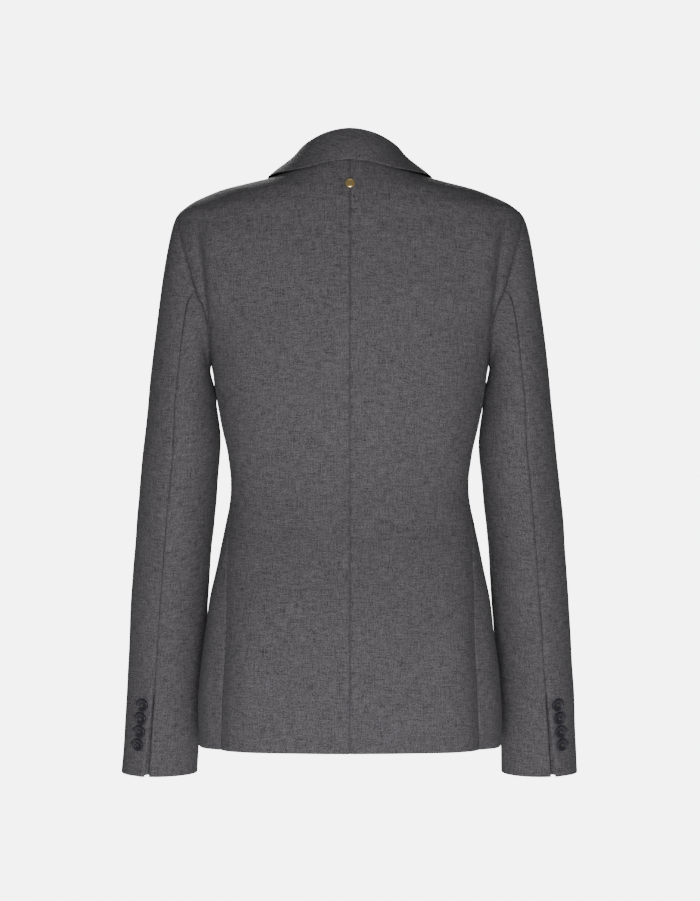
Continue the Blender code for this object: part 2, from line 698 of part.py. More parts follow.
def button_profile(size):
    """A button's half section: flat below, a raised rim and a dished middle above."""
    r = size / 2
    t = size * 0.2
    return (
        (0, 0),
        (r * 0.8, 0),
        (r * 0.97, t * 0.35),
        (r, t * 0.6),
        (r * 0.93, t * 0.95),
        (r * 0.8, t),
        (r * 0.66, t * 0.8),
        (r * 0.35, t * 0.6),
        (0, t * 0.55),
    )


def stud_profile():
    """A plain domed stud's half section."""
    r = STUD / 2
    dome = [(r * math.cos(a), 0.9 * MM + 1.9 * MM * math.sin(a)) for a in np.radians((0, 25, 50, 72))]
    return [(0, 0), (r * 0.96, 0), (r, 0.3 * MM), *dome, (0, 2.8 * MM)]


def seat(points, out, gap=0.3 * MM):
    """A place just off a surface: its point, its outward direction, and the gap."""
    facing = Vector(out).normalized()
    return Vector(points) + facing * gap, facing


def outward(surface, a, b):
    """The outward normal of a surface at (a, b), with its point."""
    small = 1e-4
    here = surface(a, b)
    out = np.cross(surface(a, b + small) - here, surface(a + small, b) - here)
    return here, out / np.linalg.norm(out)


def cuff_buttons(home):
    for number, (z, turn) in enumerate(zip(CUFF_BUTTON_HEIGHTS, CUFF_BUTTON_TURN), 1):
        down = 1 + (z - SLEEVE_TOP) / (CUFF - SLEEVE_TOP)
        here, out = outward(sleeve, math.radians(turn), down)
        if out[1] < 0:
            out = -out
        for side, sign in (("left", 1), ("right", -1)):
            flip = np.array([sign, 1, 1])
            place, facing = seat(here * flip, out * flip, 0.35 * MM)
            turned(f"cuff_button_{side}_{number}", button_profile(CUFF_BUTTON), place, facing, HORN, home)


def front_button(home):
    here, out = outward(lambda x, z: on_front(x, z, lap_step(x, z, True)), 0.0, FRONT_BUTTON_HEIGHT)
    if out[1] > 0:
        out = -out
    flip = np.array([-1, 1, 1])
    place, facing = seat(here * flip, out * flip, 1.2 * MM)
    turned("front_button", button_profile(FRONT_BUTTON), place, facing, HORN, home)


def back_stud(home):
    here, out = outward(body, 0.0, STUD_HEIGHT)
    if out[1] < 0:
        out = -out
    place, facing = seat(here, out, 0.3 * MM)
    turned("back_stud", stud_profile(), place, facing, GOLD, home)


def build():
    clear_scene()
    home = bpy.data.collections.new("single_breasted_blazer")
    bpy.context.scene.collection.children.link(home)
    for side, mirrored in (("left", False), ("right", True)):
        upper = side == "right"
        cloth(f"back_{side}", back_panel(), body_axis, home, mirrored)
        cloth(f"side_{side}", side_panel(), body_axis, home, mirrored)
        cloth(f"front_{side}", front_panel(upper), body_axis, home, mirrored)
        cloth(f"lapel_{side}", lapel_panel(upper), body_axis, home, mirrored)
        cloth(f"upper_sleeve_{side}", upper_sleeve(), sleeve_axis, home, mirrored)
        cloth(f"under_sleeve_{side}", under_sleeve(), sleeve_axis, home, mirrored)
    cloth("collar_fall", whole(collar_panel()), neck_axis, home)
    cloth("collar_stand", whole(stand_panel()), neck_axis, home)
    cuff_buttons(home)
    front_button(home)
    back_stud(home)


build()
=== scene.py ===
# %% [markdown]
# # A tailored blazer, worn and hollow
#
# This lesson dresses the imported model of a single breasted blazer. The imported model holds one
# plain walled solid for each piece of cloth, and the frame says where each one is. Here each
# solid is replaced by a fine cloth surface on the same form, with its seams, rolled edges and
# soft folds, and then the cloth, buttons and light get their finish.

import math

import bpy
import numpy as np
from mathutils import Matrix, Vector


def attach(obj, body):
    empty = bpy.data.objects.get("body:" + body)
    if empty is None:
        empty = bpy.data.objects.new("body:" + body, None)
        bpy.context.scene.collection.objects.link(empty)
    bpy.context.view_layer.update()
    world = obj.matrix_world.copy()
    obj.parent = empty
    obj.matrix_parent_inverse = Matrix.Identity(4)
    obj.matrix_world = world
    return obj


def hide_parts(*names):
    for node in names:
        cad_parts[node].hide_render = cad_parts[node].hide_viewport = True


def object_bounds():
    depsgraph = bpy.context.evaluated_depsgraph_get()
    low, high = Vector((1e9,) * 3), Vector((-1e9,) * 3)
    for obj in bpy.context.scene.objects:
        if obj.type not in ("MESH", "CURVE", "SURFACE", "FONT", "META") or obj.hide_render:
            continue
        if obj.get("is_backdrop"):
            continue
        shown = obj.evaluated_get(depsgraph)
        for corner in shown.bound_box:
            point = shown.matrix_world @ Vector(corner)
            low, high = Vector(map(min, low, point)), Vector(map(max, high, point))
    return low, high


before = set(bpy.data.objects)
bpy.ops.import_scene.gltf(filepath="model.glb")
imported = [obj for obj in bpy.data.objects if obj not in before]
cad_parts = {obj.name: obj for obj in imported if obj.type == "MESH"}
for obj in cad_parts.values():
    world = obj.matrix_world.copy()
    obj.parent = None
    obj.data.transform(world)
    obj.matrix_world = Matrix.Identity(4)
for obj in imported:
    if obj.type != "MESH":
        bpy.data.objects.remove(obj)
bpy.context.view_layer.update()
MM = 0.001

# %% [markdown]
# A tailor drafts a jacket from a few girths and heights. The form here is a stack of rings in
# the same way: each row of the table is one level of the body, and everything between the
# rows follows a smooth curve. The tables are the ones that the solids were made from, so the
# fine cloth lies where the solids lie.

# %% The tables of the body
RINGS = (
    ("ring", "side", "front", "half", "back", "chest", "round_b"),
    (-632, -632, -632, 169.0, 112.0, 126.0, 2.6),
    (-580, -580, -580, 169.0, 114.5, 130.0, 2.6),
    (-536, -536, -536, 165.5, 114.0, 131.0, 2.6),
    (-500, -500, -500, 161.0, 111.0, 130.0, 2.6),
    (-470, -470, -470, 157.0, 106.0, 128.0, 2.6),
    (-425, -425, -425, 147.0, 95.0, 121.0, 2.6),
    (-380, -380, -380, 138.0, 84.0, 113.0, 2.6),
    (-347, -347, -347, 133.5, 79.5, 108.0, 2.6),
    (-314, -314, -314, 136.0, 82.0, 110.0, 2.6),
    (-270, -270, -270, 144.5, 91.0, 121.0, 2.6),
    (-235, -235, -235, 150.5, 99.0, 133.0, 2.6),
    (-190, -190, -190, 159.0, 105.5, 137.0, 2.6),
    (-150, -150, -150, 172.0, 108.0, 130.0, 2.5),
    (-130, -130, -130, 181.5, 108.0, 125.0, 2.5),
    (-100, -100, -100, 190.0, 106.0, 115.0, 2.5),
    (-75, -75, -75, 195.0, 103.5, 106.0, 2.5),
    (-50, -50, -50, 195.0, 99.5, 97.0, 2.4),
    (-38, -37, -43, 190.0, 97.0, 92.0, 2.4),
    (-33, -31, -39, 182.0, 96.0, 89.0, 2.4),
    (-26, -22, -35, 166.0, 94.0, 85.0, 2.3),
    (-16, -13.5, -30, 145.0, 91.0, 80.0, 2.3),
    (-4, -6, -25, 116.0, 86.5, 74.0, 2.2),
    (10, -1, -20, 92.0, 80.5, 68.0, 2.2),
    (22, 5, -16, 73.0, 74.0, 62.0, 2.2),
)
ROUND_F = 2.3
HEM, SEAM_JOIN, FRONT_JOIN, TIP, NECK = -632 * MM, -165 * MM, -180 * MM, -38 * MM, 22 * MM

SEAMS = (
    ("ring", "behind", "before"),
    (-632, 0.885, 0.86),
    (-580, 0.875, 0.86),
    (-536, 0.877, 0.87),
    (-470, 0.903, 0.89),
    (-425, 0.945, 0.91),
    (-391, 0.972, 0.925),
    (-347, 0.982, 0.94),
    (-270, 0.982, 0.955),
    (-165, 0.975, 0.965),
)
FOLDS = (
    ("ring", "seam_depth", "blade_x", "blade_depth"),
    (-632, 7.0, 150, 0.0),
    (-560, 7.5, 150, 0.0),
    (-470, 5.0, 150, 0.0),
    (-391, 1.5, 150, 0.0),
    (-347, 0.0, 150, 0.0),
    (-200, 0.0, 156, 0.0),
    (-145, 0.0, 160, 2.0),
    (-100, 0.0, 165, 3.5),
    (-65, 0.0, 169, 2.5),
    (-45, 0.0, 172, 0.0),
    (22, 0.0, 173, 0.0),
)
SEAM_FOLD_WIDTH = 15 * MM
BLADE_FOLD_WIDTH = 8 * MM
BLADE_RIDGE_BACK = 17 * MM
BLADE_RIDGE_SHARE, BLADE_RIDGE_SPREAD = 0.9, 1.4
ARM_MIDDLE, ARM_HALF_HEIGHT = -121 * MM, 84 * MM
ARM_BEHIND, ARM_BEFORE, ARM_ROUND = 50 * MM, 54 * MM, 2.2

SLEEVE = (
    ("z", "outer", "inner", "middle", "half_depth"),
    (-250, 226.0, 149.8, -8.0, 61.0),
    (-290, 231.0, 144.5, -10.0, 59.5),
    (-330, 235.0, 147.5, -14.0, 57.0),
    (-380, 240.0, 152.5, -21.0, 54.0),
    (-430, 244.5, 157.5, -30.0, 51.0),
    (-480, 248.5, 161.0, -40.0, 48.0),
    (-540, 252.5, 165.5, -51.0, 45.0),
    (-600, 256.5, 170.0, -62.0, 42.0),
    (-667, 261.0, 174.0, -74.0, 40.0),
)
CUFF, SLEEVE_TOP = -667 * MM, -250 * MM
TURNS = (
    ("z", "hind", "fore", "slit"),
    (-667, 18.0, 218.0, 3.6),
    (-620, 15.5, 217.0, 1.6),
    (-564, 13.0, 216.0, 0.0),
    (-480, 12.0, 215.0, 0.0),
    (-330, 11.0, 213.0, 0.0),
    (-250, 9.0, 212.0, 0.0),
    (-121, -4.0, 210.0, 0.0),
)

# %% [markdown]
# A stack of rings needs one helper: a smooth curve through a column of a table. The slope at
# each row is that of the line between its two neighbours, which gives no corners and hardly
# any overshoot.


# %% A smooth column
def smooth(xs, ys, at):
    """A cubic piece between each two points, with slopes taken from the neighbours."""
    xs, ys = np.asarray(xs, float), np.asarray(ys, float)
    order = np.argsort(xs)
    xs, ys = xs[order], ys[order]
    slope = np.gradient(ys, xs)
    at = np.clip(at, xs[0], xs[-1])
    i = np.clip(np.searchsorted(xs, at) - 1, 0, len(xs) - 2)
    step = xs[i + 1] - xs[i]
    t = (at - xs[i]) / step
    rise = ys[i] * (1 + 2 * t) * (1 - t) ** 2 + ys[i + 1] * t * t * (3 - 2 * t)
    return rise + step * (slope[i] * t * (1 - t) ** 2 - slope[i + 1] * t * t * (1 - t))


def column(table, name, at):
    """One column of a table, at a key in metres. The first row names the columns."""
    which = table[0].index(name)
    return smooth([r[0] for r in table[1:]], [r[which] for r in table[1:]], np.asarray(at) / MM)


def unit(ways):
    return ways / np.linalg.norm(ways, axis=-1, keepdims=True)


def soft_step(value):
    """0 below 0, 1 above 1, and a smooth S between."""
    value = np.clip(value, 0, 1)
    return value * value * (3 - 2 * value)


# %% [markdown]
# Each ring is a superellipse: the distance r from the middle obeys
# |r sin(turn) / half|^n + |r cos(turn) / depth|^n = 1. An exponent above 2 gives the flat
# back and rounded sides that a jacket has. Two folds are part of the form: the cloth sinks in
# along the side back seam below the waist, and beside the armhole.


# %% The body's surface
def ring_sizes(ring, behind):
    """A ring's half width, and its depth and exponent behind or before the middle."""
    half, back, chest = (column(RINGS, name, ring) * MM for name in ("half", "back", "chest"))
    power = np.where(behind, column(RINGS, "round_b", ring), ROUND_F)
    return half, np.where(behind, back, chest), power


def turn_at(x, ring, behind):
    """The turn at which a ring is x away from the centre plane."""
    half, depth, power = ring_sizes(ring, behind)
    away = depth * (1 - np.minimum(np.abs(x) / half, 1) ** power) ** (1 / power)
    return np.arctan2(x, np.where(behind, away, -away))


def turn_at_y(y, ring):
    """The turn at which a ring is y behind the middle, or before it where y is below 0."""
    half, depth, power = ring_sizes(ring, y > 0)
    return np.arctan2(half * (1 - (np.abs(y) / depth) ** power) ** (1 / power), y)


def seam_turn(ring, name):
    half = ring_sizes(ring, True)[0]
    return turn_at(column(SEAMS, name, ring) * half, ring, name == "behind")


def sunk_by_folds(turn, ring, reach, x):
    """How far the two large folds draw the cloth in, less the soft ridge beside one."""
    seam = seam_turn(ring, "behind")
    depth = column(FOLDS, "seam_depth", ring) * MM
    sunk = depth * np.exp(-(((turn - seam) * reach / SEAM_FOLD_WIDTH) ** 2))
    blade_x = column(FOLDS, "blade_x", ring) * MM
    blade = column(FOLDS, "blade_depth", ring) * MM
    behind = turn < math.pi / 2
    sunk = sunk + behind * blade * np.exp(-(((x - blade_x) / BLADE_FOLD_WIDTH) ** 2))
    past = (x - blade_x + BLADE_RIDGE_BACK) / (BLADE_RIDGE_SPREAD * BLADE_FOLD_WIDTH)
    return sunk - behind * blade * BLADE_RIDGE_SHARE * np.exp(-(past**2))


def body(turn, ring):
    """The body's surface point at a turn (0 centre back, a half turn centre front) and ring."""
    turn, ring = np.broadcast_arrays(np.asarray(turn, float), np.asarray(ring, float))
    behind = np.cos(turn) > 0
    half, depth, power = ring_sizes(ring, behind)
    across = np.abs(np.sin(turn)) / half
    along = np.abs(np.cos(turn)) / depth
    reach = (across**power + along**power) ** (-1 / power)
    reach = reach - sunk_by_folds(turn, ring, reach, reach * np.sin(turn))
    side = column(RINGS, "side", ring) * MM
    front = column(RINGS, "front", ring) * MM
    end = np.where(behind, ring, front)
    z = side + (end - side) * np.cos(turn) ** 2
    return np.stack([reach * np.sin(turn), reach * np.cos(turn), z], axis=-1)


def lifted(turn, ring, by):
    """A point of the body moved straight out of its surface."""
    small = 1e-4
    here = body(turn, ring)
    round_it = body(np.asarray(turn) + small, ring) - here
    down = np.where(np.asarray(ring) > HEM + small, -small, small)
    up_it = (body(turn, np.asarray(ring) + down) - here) * np.sign(down)[..., None]
    out = unit(np.cross(up_it, round_it))
    return here + out * np.asarray(by)[..., None]


print("waist half width", round(float(ring_sizes(-347 * MM, True)[0]) / MM, 1), "mm")

# %% [markdown]
# Cloth is never as smooth as a drafted form. The largest creases are given one by one: each row
# of a crease table is a soft trough (or a ridge, where the depth is negative) along a straight
# line on the unrolled surface, fading out round its ends.


# %% Listed creases
CREASE_SHARE = 2.2
FADE_FROM, FADE_OVER = 0.08, 0.84  # the part of a sine's arch that a crease's depth follows


def creased(turn, z, creases, radius):
    """The sum of soft troughs. Each is exp(-(distance to its line / width)^2) times a depth.
    Turns are in degrees and lengths in millimetres: from turn, from z, to turn, to z, width,
    depth."""
    across = turn * radius
    total = np.zeros(np.broadcast(turn, z).shape)
    for turn_a, z_a, turn_b, z_b, width, depth in creases:
        start = np.array([math.radians(turn_a) * radius, z_a * MM])
        way = np.array([math.radians(turn_b) * radius, z_b * MM]) - start
        share = ((across - start[0]) * way[0] + (z - start[1]) * way[1]) / (way @ way)
        share = np.clip(share, 0, 1)
        gap_a = across - start[0] - way[0] * share
        gap_z = z - start[1] - way[1] * share
        fade = np.sqrt(np.clip(np.sin(math.pi * (FADE_FROM + FADE_OVER * share)), 0, 1))
        total = total + depth * MM * fade * np.exp(-(gap_a**2 + gap_z**2) / (width * MM) ** 2)
    return total * CREASE_SHARE


BACK_CREASES = (
    (50, -205, 22, -262, 17, 0.9),
    (58, -235, 30, -300, 15, 0.8),
    (64, -318, 34, -334, 12, 0.7),
    (66, -352, 30, -361, 13, 0.8),
    (60, -385, 26, -384, 14, 0.55),
    (38, -470, 33, -628, 24, 1.3),
    (14, -520, 12, -630, 26, 0.6),
    (50, -470, 48, -630, 15, -0.9),
    (30, -48, 55, -40, 13, 0.5),
)
SIDE_CREASES = (
    (80, -330, 104, -338, 12, 0.35),
    (84, -352, 112, -350, 11, 0.4),
    (78, -372, 100, -366, 12, 0.3),
    (86, -300, 106, -306, 13, 0.2),
)
FRONT_LEFT_CREASES = (
    (118, -232, 146, -296, 15, 1.3),
    (112, -262, 150, -316, 13, 1.0),
    (118, -330, 164, -331, 12, 1.1),
    (116, -352, 158, -342, 13, 0.9),
    (130, -400, 150, -360, 18, 0.8),
    (140, -470, 142, -628, 26, 1.1),
    (122, -500, 120, -630, 22, 0.9),
    (112, -118, 118, -190, 12, 1.2),
)
FRONT_RIGHT_CREASES = (
    (116, -226, 150, -302, 16, 1.2),
    (114, -268, 146, -312, 12, 1.1),
    (120, -334, 166, -330, 11, 1.2),
    (114, -360, 152, -346, 14, 0.8),
    (134, -410, 156, -356, 17, 0.9),
    (146, -460, 150, -626, 24, 1.2),
    (124, -520, 121, -630, 25, 0.8),
    (110, -112, 117, -184, 13, 1.1),
)
BODY_RADIUS = 0.14
print(len(BACK_CREASES), "creases on each half of the back")


# %% [markdown]
# Two kinds of finer relief go on every panel. A seam pulls both of its edges in, so a narrow
# groove runs along it, with a soft swell beside it that comes and goes. The rest is a slow
# unevenness of a few tenths of a millimetre, because pressed wool never lies quite flat.

# %% Seams, edges and slow unevenness
SEAM_CLOSE = -0.15 * MM  # below 0, so sewn edges are pressed into each other
GROOVE_DEPTH, GROOVE_WIDTH = 1.35 * MM, 1.6 * MM
SWELL_HEIGHT, SWELL_AT, SWELL_WIDTH = 0.22 * MM, 6.0 * MM, 4.5 * MM
PUCKER, PUCKER_SHORT, PUCKER_LONG = 0.35, 7.3 * MM, 23.0 * MM
EDGE_ROUND, EDGE_DROP, EDGE_STEEPEST = 1.3 * MM, 0.55, 0.98
WAVE_SHORTEST, WAVE_RANGE, WAVE_SHARE = 45, 145, 2.5
GORGE_GAP, SMALL_WAVES = 0.3 * MM, 0.16 * MM
WALL = 1.2 * MM
WAVES = np.random.default_rng(7).uniform(size=(14, 4))


def uneven(across, z, size=0.55 * MM):
    """A sum of plane waves 45 to 190 mm long: sin(2 pi (direction . place) / length + phase)."""
    total = np.zeros(np.broadcast(across, z).shape)
    for heading, length, phase, share in WAVES:
        angle = heading * 2 * math.pi
        place = across * math.cos(angle) + z * math.sin(angle)
        wave = np.sin(2 * math.pi * (place / ((WAVE_SHORTEST + WAVE_RANGE * length) * MM) + phase))
        total = total + (0.4 + 0.6 * share) * wave
    return total * size / WAVE_SHARE


def length_run(points):
    """The length run along a row of points, from its first."""
    return np.concatenate([[0], np.cumsum(np.linalg.norm(np.diff(points, axis=0), axis=1))])


def travelled(grid, axis):
    """The length run along a grid's lines, from its first line."""
    step = np.linalg.norm(np.diff(grid, axis=axis), axis=-1)
    run = np.cumsum(step, axis=axis)
    pad = [(0, 0), (0, 0)]
    pad[axis] = (1, 0)
    return np.pad(run, pad)


def outward_normals(grid, middle):
    """The cross product of the two grid directions, turned away from the middle."""
    normal = np.cross(np.gradient(grid, axis=1), np.gradient(grid, axis=0))
    normal /= np.linalg.norm(normal, axis=-1, keepdims=True) + 1e-12
    return normal if (normal * (grid - middle)).sum() > 0 else -normal


def edge_relief(grid, seams=(), edges=()):
    """Grooves along seams and a rounding down along free edges, by distance from each."""
    across, along = travelled(grid, 1), travelled(grid, 0)
    away = {
        "start": across,
        "end": across[:, -1:] - across,
        "low": along,
        "high": along[-1:] - along,
    }
    relief = np.zeros(grid.shape[:2])
    for side in seams:
        gap = away[side]
        run = along if side in ("start", "end") else across
        pucker = 1 + PUCKER * np.sin(run / PUCKER_SHORT) * np.sin(run / PUCKER_LONG + 1)
        relief -= GROOVE_DEPTH * np.exp(-((gap / GROOVE_WIDTH) ** 2))
        relief += SWELL_HEIGHT * pucker * np.exp(-(((gap - SWELL_AT) / SWELL_WIDTH) ** 2))
    for side in edges:
        short = np.clip(1 - away[side] / EDGE_ROUND, 0, 1)
        fall = 1 - np.sqrt(1 - np.minimum(short, EDGE_STEEPEST) ** 2)
        relief -= EDGE_DROP * EDGE_ROUND * fall
    return relief


def drawn_in(grid, sides, by=SEAM_CLOSE):
    """The named edges moved along the cloth: in by a length or, where it is below 0, out, so
    that two sewn pieces press together."""
    grid = grid.copy()
    lines = {
        "start": (np.s_[:, 0], np.s_[:, 1]),
        "end": (np.s_[:, -1], np.s_[:, -2]),
        "low": (np.s_[0], np.s_[1]),
        "high": (np.s_[-1], np.s_[-2]),
    }
    for side in sides:
        edge, inner = lines[side]
        way = grid[inner] - grid[edge]
        length = np.linalg.norm(way, axis=-1, keepdims=True) + 1e-12
        grid[edge] = grid[edge] + way * np.minimum(by / length, 0.6)
    return grid


# %% [markdown]
# One function turns a grid into cloth: quads whose faces look outward, a UV map in metres
# that runs along the cloth so that the weave follows it, and a Solidify for the wall.

# %% From a grid to a piece of cloth
CLOTH_PIECES = {}
home = bpy.data.collections.new("blazer")
bpy.context.scene.collection.children.link(home)


def mesh_object(name, points, quads, smooth_faces=True):
    mesh = bpy.data.meshes.new(name)
    mesh.from_pydata(np.asarray(points).tolist(), [], np.asarray(quads).tolist())
    mesh.polygons.foreach_set("use_smooth", [smooth_faces] * len(mesh.polygons))
    mesh.update()
    obj = bpy.data.objects.new(name, mesh)
    home.objects.link(obj)
    return obj


def grid_quads(rows, cols):
    number = np.arange(rows * cols).reshape(rows, cols)
    return np.stack(
        [number[:-1, :-1], number[:-1, 1:], number[1:, 1:], number[1:, :-1]], axis=-1
    ).reshape(-1, 4)


def add_uv(obj, uv):
    """Copies one (u, v) for each point to the corners of its faces."""
    mesh = obj.data
    corner = np.empty(len(mesh.loops), np.int32)
    mesh.loops.foreach_get("vertex_index", corner)
    layer = mesh.uv_layers.new(name="cloth")
    layer.data.foreach_set("uv", uv.reshape(-1, 2)[corner].astype(np.float32).ravel())


def body_middle(grid):
    return grid * np.array([0.0, 0.0, 1.0])


def make_cloth(name, grid, mirrored=False, middle_of=body_middle, grain_from_end=False):
    """The grid is the outer face, and the wall goes inwards from it."""
    middle, along = middle_of(grid), travelled(grid, 0)
    if grain_from_end:
        powers = np.vander(np.linspace(-1, 1, grid.shape[1]), 5)
        along = (along - along[-1:]) @ (powers @ np.linalg.pinv(powers)).T
    uv = np.stack([travelled(grid, 1), along], axis=-1)
    if mirrored:
        uv = uv + np.array([1.37, 0.61])
        flip = np.array([-1.0, 1.0, 1.0])
        grid, middle = grid * flip, middle * flip
    quads = grid_quads(*grid.shape[:2])
    normal = np.cross(grid[:-1, 1:] - grid[:-1, :-1], grid[1:, :-1] - grid[:-1, :-1])
    if (normal * (grid - middle)[:-1, :-1]).sum() < 0:
        quads = quads[:, ::-1]
    obj = mesh_object(name, grid.reshape(-1, 3), quads)
    add_uv(obj, uv)
    solid = obj.modifiers.new("wall", "SOLIDIFY")
    solid.thickness = WALL
    solid.offset = -1
    solid.use_rim = True
    CLOTH_PIECES[name] = obj
    print(name, len(quads), "quads")
    return obj


SIDES = (("left", 1), ("right", -1))


def make_both(kind, grid_of):
    """The left piece of a kind, and the right one, whose grid is mirrored."""
    for side, sign in SIDES:
        make_cloth(f"cloth_{kind}_{side}", grid_of(side, sign), sign < 0)


# %% [markdown]
# The back is cut in two halves with a seam down the middle. It has no vent. Each half runs
# out to the side back seam below, to the armhole above that, and to the shoulder seam.

# %% The halves of the back


def armhole_y(z, behind):
    """The egg of the armhole: its reach behind or before its middle at a height."""
    up = np.minimum(np.abs(z - ARM_MIDDLE) / ARM_HALF_HEIGHT, 1)
    return (ARM_BEHIND if behind else -ARM_BEFORE) * (1 - up**ARM_ROUND) ** (1 / ARM_ROUND)


def armhole_turn(ring, behind):
    """The turn at which a ring meets the armhole."""
    return turn_at_y(armhole_y(ring, behind), ring)


def spaced(*stretches):
    """Numbers in a row: each stretch is (start, end, steps) and shares its end."""
    runs = [np.linspace(a, b, n + 1)[:-1] for a, b, n in stretches]
    return np.concatenate(runs + [[stretches[-1][1]]])


def crowded(steps, share=0.55):
    """0 to 1, with the steps closer together towards both ends."""
    t = np.linspace(0, 1, steps + 1)
    return (1 - share) * t + share * (1 - np.cos(math.pi * t)) / 2


def arm_rows(join, steps):
    """Rings up the armhole to the shoulder tip, closer together near the tip."""
    return join + (TIP - join) * np.sin(np.linspace(0, 1, steps + 1) * math.pi / 2)[1:]


CREASES = {
    "left": BACK_CREASES + SIDE_CREASES + FRONT_LEFT_CREASES,
    "right": BACK_CREASES + SIDE_CREASES + FRONT_RIGHT_CREASES,
}


def clear_of_armhole(points, within=16 * MM):
    """0 on the armhole and 1 from some way off, so that body and sleeve meet all round it. The
    egg's own equation, (y / reach)^n + (z / height)^n = 1, gives the distance."""
    y, z = points[..., 1], points[..., 2] - ARM_MIDDLE
    reach = np.where(y > 0, ARM_BEHIND, ARM_BEFORE)
    egg = np.abs(y / reach) ** ARM_ROUND + np.abs(z / ARM_HALF_HEIGHT) ** ARM_ROUND
    return soft_step((egg ** (1 / ARM_ROUND) - 1) * ARM_BEHIND / within)


SHARP = (
    ("z", "sharp"),
    (-260, 0.0), (-225, 1.6), (-190, 3.0), (-150, 3.4), (-100, 2.8), (-65, 1.3), (-42, 0.0),
)
SHARP_WIDTH, SHARP_RIDGE, SHARP_RIDGE_AT = 2.9 * MM, 0.35, 6.5 * MM


def sharp_fold(points):
    """The crease beside the armhole on the back, with the ridge of cloth outside it."""
    x, z = points[..., 0], points[..., 2]
    depth = column(SHARP, "sharp", z) * MM * (points[..., 1] > 0)
    depth = depth * clear_of_armhole(points, 5 * MM)
    away = x - column(FOLDS, "blade_x", z) * MM
    trough = np.exp(-((away / SHARP_WIDTH) ** 2))
    ridge = np.exp(-(((away + SHARP_RIDGE_AT) / (2 * SHARP_WIDTH)) ** 2))
    return depth * (SHARP_RIDGE * ridge - trough)


def body_relief(turn, ring, side, sign):
    """The same creases and unevenness for all panels of one side, so they meet at seams."""
    z = np.broadcast_to(ring, np.broadcast(turn, ring).shape)
    fade = np.clip((NECK - z) / (25 * MM), 0, 1) * clear_of_armhole(body(turn, z))
    relief = -creased(turn, z, CREASES[side], BODY_RADIUS)
    relief = (relief + uneven(sign * turn * BODY_RADIUS, z)) * fade
    return relief + sharp_fold(body(turn, z))


def dressed(grid, relief, middle_of=body_middle):
    return grid + outward_normals(grid, middle_of(grid)) * relief[..., None]


def back_grid(side, sign):
    ring = np.concatenate(
        [HEM + (SEAM_JOIN - HEM) * np.linspace(0, 1, 151) ** 1.02, arm_rows(SEAM_JOIN, 46),
         spaced((TIP, NECK, 26))[1:]]
    )
    edge = seam_turn(ring, "behind")
    edge = np.where(ring > SEAM_JOIN, armhole_turn(ring, True), edge)
    edge = np.where(ring > TIP - 1e-6, math.pi / 2, edge)[:, None]
    turn = crowded(84) * edge
    grid = drawn_in(body(turn, ring[:, None]), ("start", "end"))
    relief = body_relief(turn, ring[:, None], side, sign)
    relief += edge_relief(grid, ("start", "end"), ("low",))
    return dressed(grid, relief)


make_both("back", back_grid)

# %% [markdown]
# The side panel is a narrow strip under the arm. Its top is cut to the armhole's lower curve.

# %% The side panels


def armhole_bottom(turn):
    """The height at which each turn meets the armhole's lower half, found by halving."""
    low = np.full(np.shape(turn), ARM_MIDDLE - ARM_HALF_HEIGHT)
    high = np.full(np.shape(turn), ARM_MIDDLE)
    for _ in range(40):
        half_way = (low + high) / 2
        y = body(turn, half_way)[..., 1]
        reach = np.where(y > 0, armhole_y(half_way, True), -armhole_y(half_way, False))
        inside = np.abs(y) < reach
        high = np.where(inside, half_way, high)
        low = np.where(inside, low, half_way)
    return low


def side_grid(side, sign):
    share = crowded(34)
    behind_top = seam_turn(SEAM_JOIN, "behind")
    before_top = seam_turn(FRONT_JOIN, "before")
    top = armhole_bottom(behind_top + (before_top - behind_top) * share)
    ring = HEM + (top - HEM) * np.linspace(0, 1, 171)[:, None]
    behind, before = seam_turn(ring, "behind"), seam_turn(ring, "before")
    turn = behind + (before - behind) * share
    grid = drawn_in(body(turn, ring), ("start", "end", "high"))
    relief = body_relief(turn, ring, side, sign)
    relief += edge_relief(grid, ("start", "end", "high"), ("low",))
    return dressed(grid, relief)


make_both("side", side_grid)

# %% [markdown]
# The fronts pass each other at the centre, the wearer's right over the left. Below the break
# the front has a free edge with a rounded lower corner. Above it the cloth rolls outwards
# along a straight line and becomes the lapel.

# %% The fronts
CORNER, OVERLAP, LAP_STEP = 50 * MM, 18 * MM, 2.9 * MM
ROLL_TOP_X, ROLL_TOP_Z = 66 * MM, -3 * MM
BREAK_X, BREAK_Z = -16 * MM, -318 * MM
ROLL_RADIUS = 2.2 * MM
LAP_UPPER = {"left": False, "right": True}


def roll_x(z):
    """The roll line of the lapel, straight in the front view."""
    return ROLL_TOP_X + (BREAK_X - ROLL_TOP_X) * (z - ROLL_TOP_Z) / (BREAK_Z - ROLL_TOP_Z)


def lap_step(x, z, upper):
    """How far a front steps out or in near the centre, below the chest."""
    near = soft_step(1 - x / (60 * MM))
    below = soft_step((BREAK_Z + 120 * MM - z) / (60 * MM))
    return (LAP_STEP if upper else -LAP_STEP) * near * below


def front_turn(x, ring):
    turn = turn_at(x, ring, np.zeros(np.shape(ring), bool))
    return np.where(turn < 0, turn + 2 * math.pi, turn)


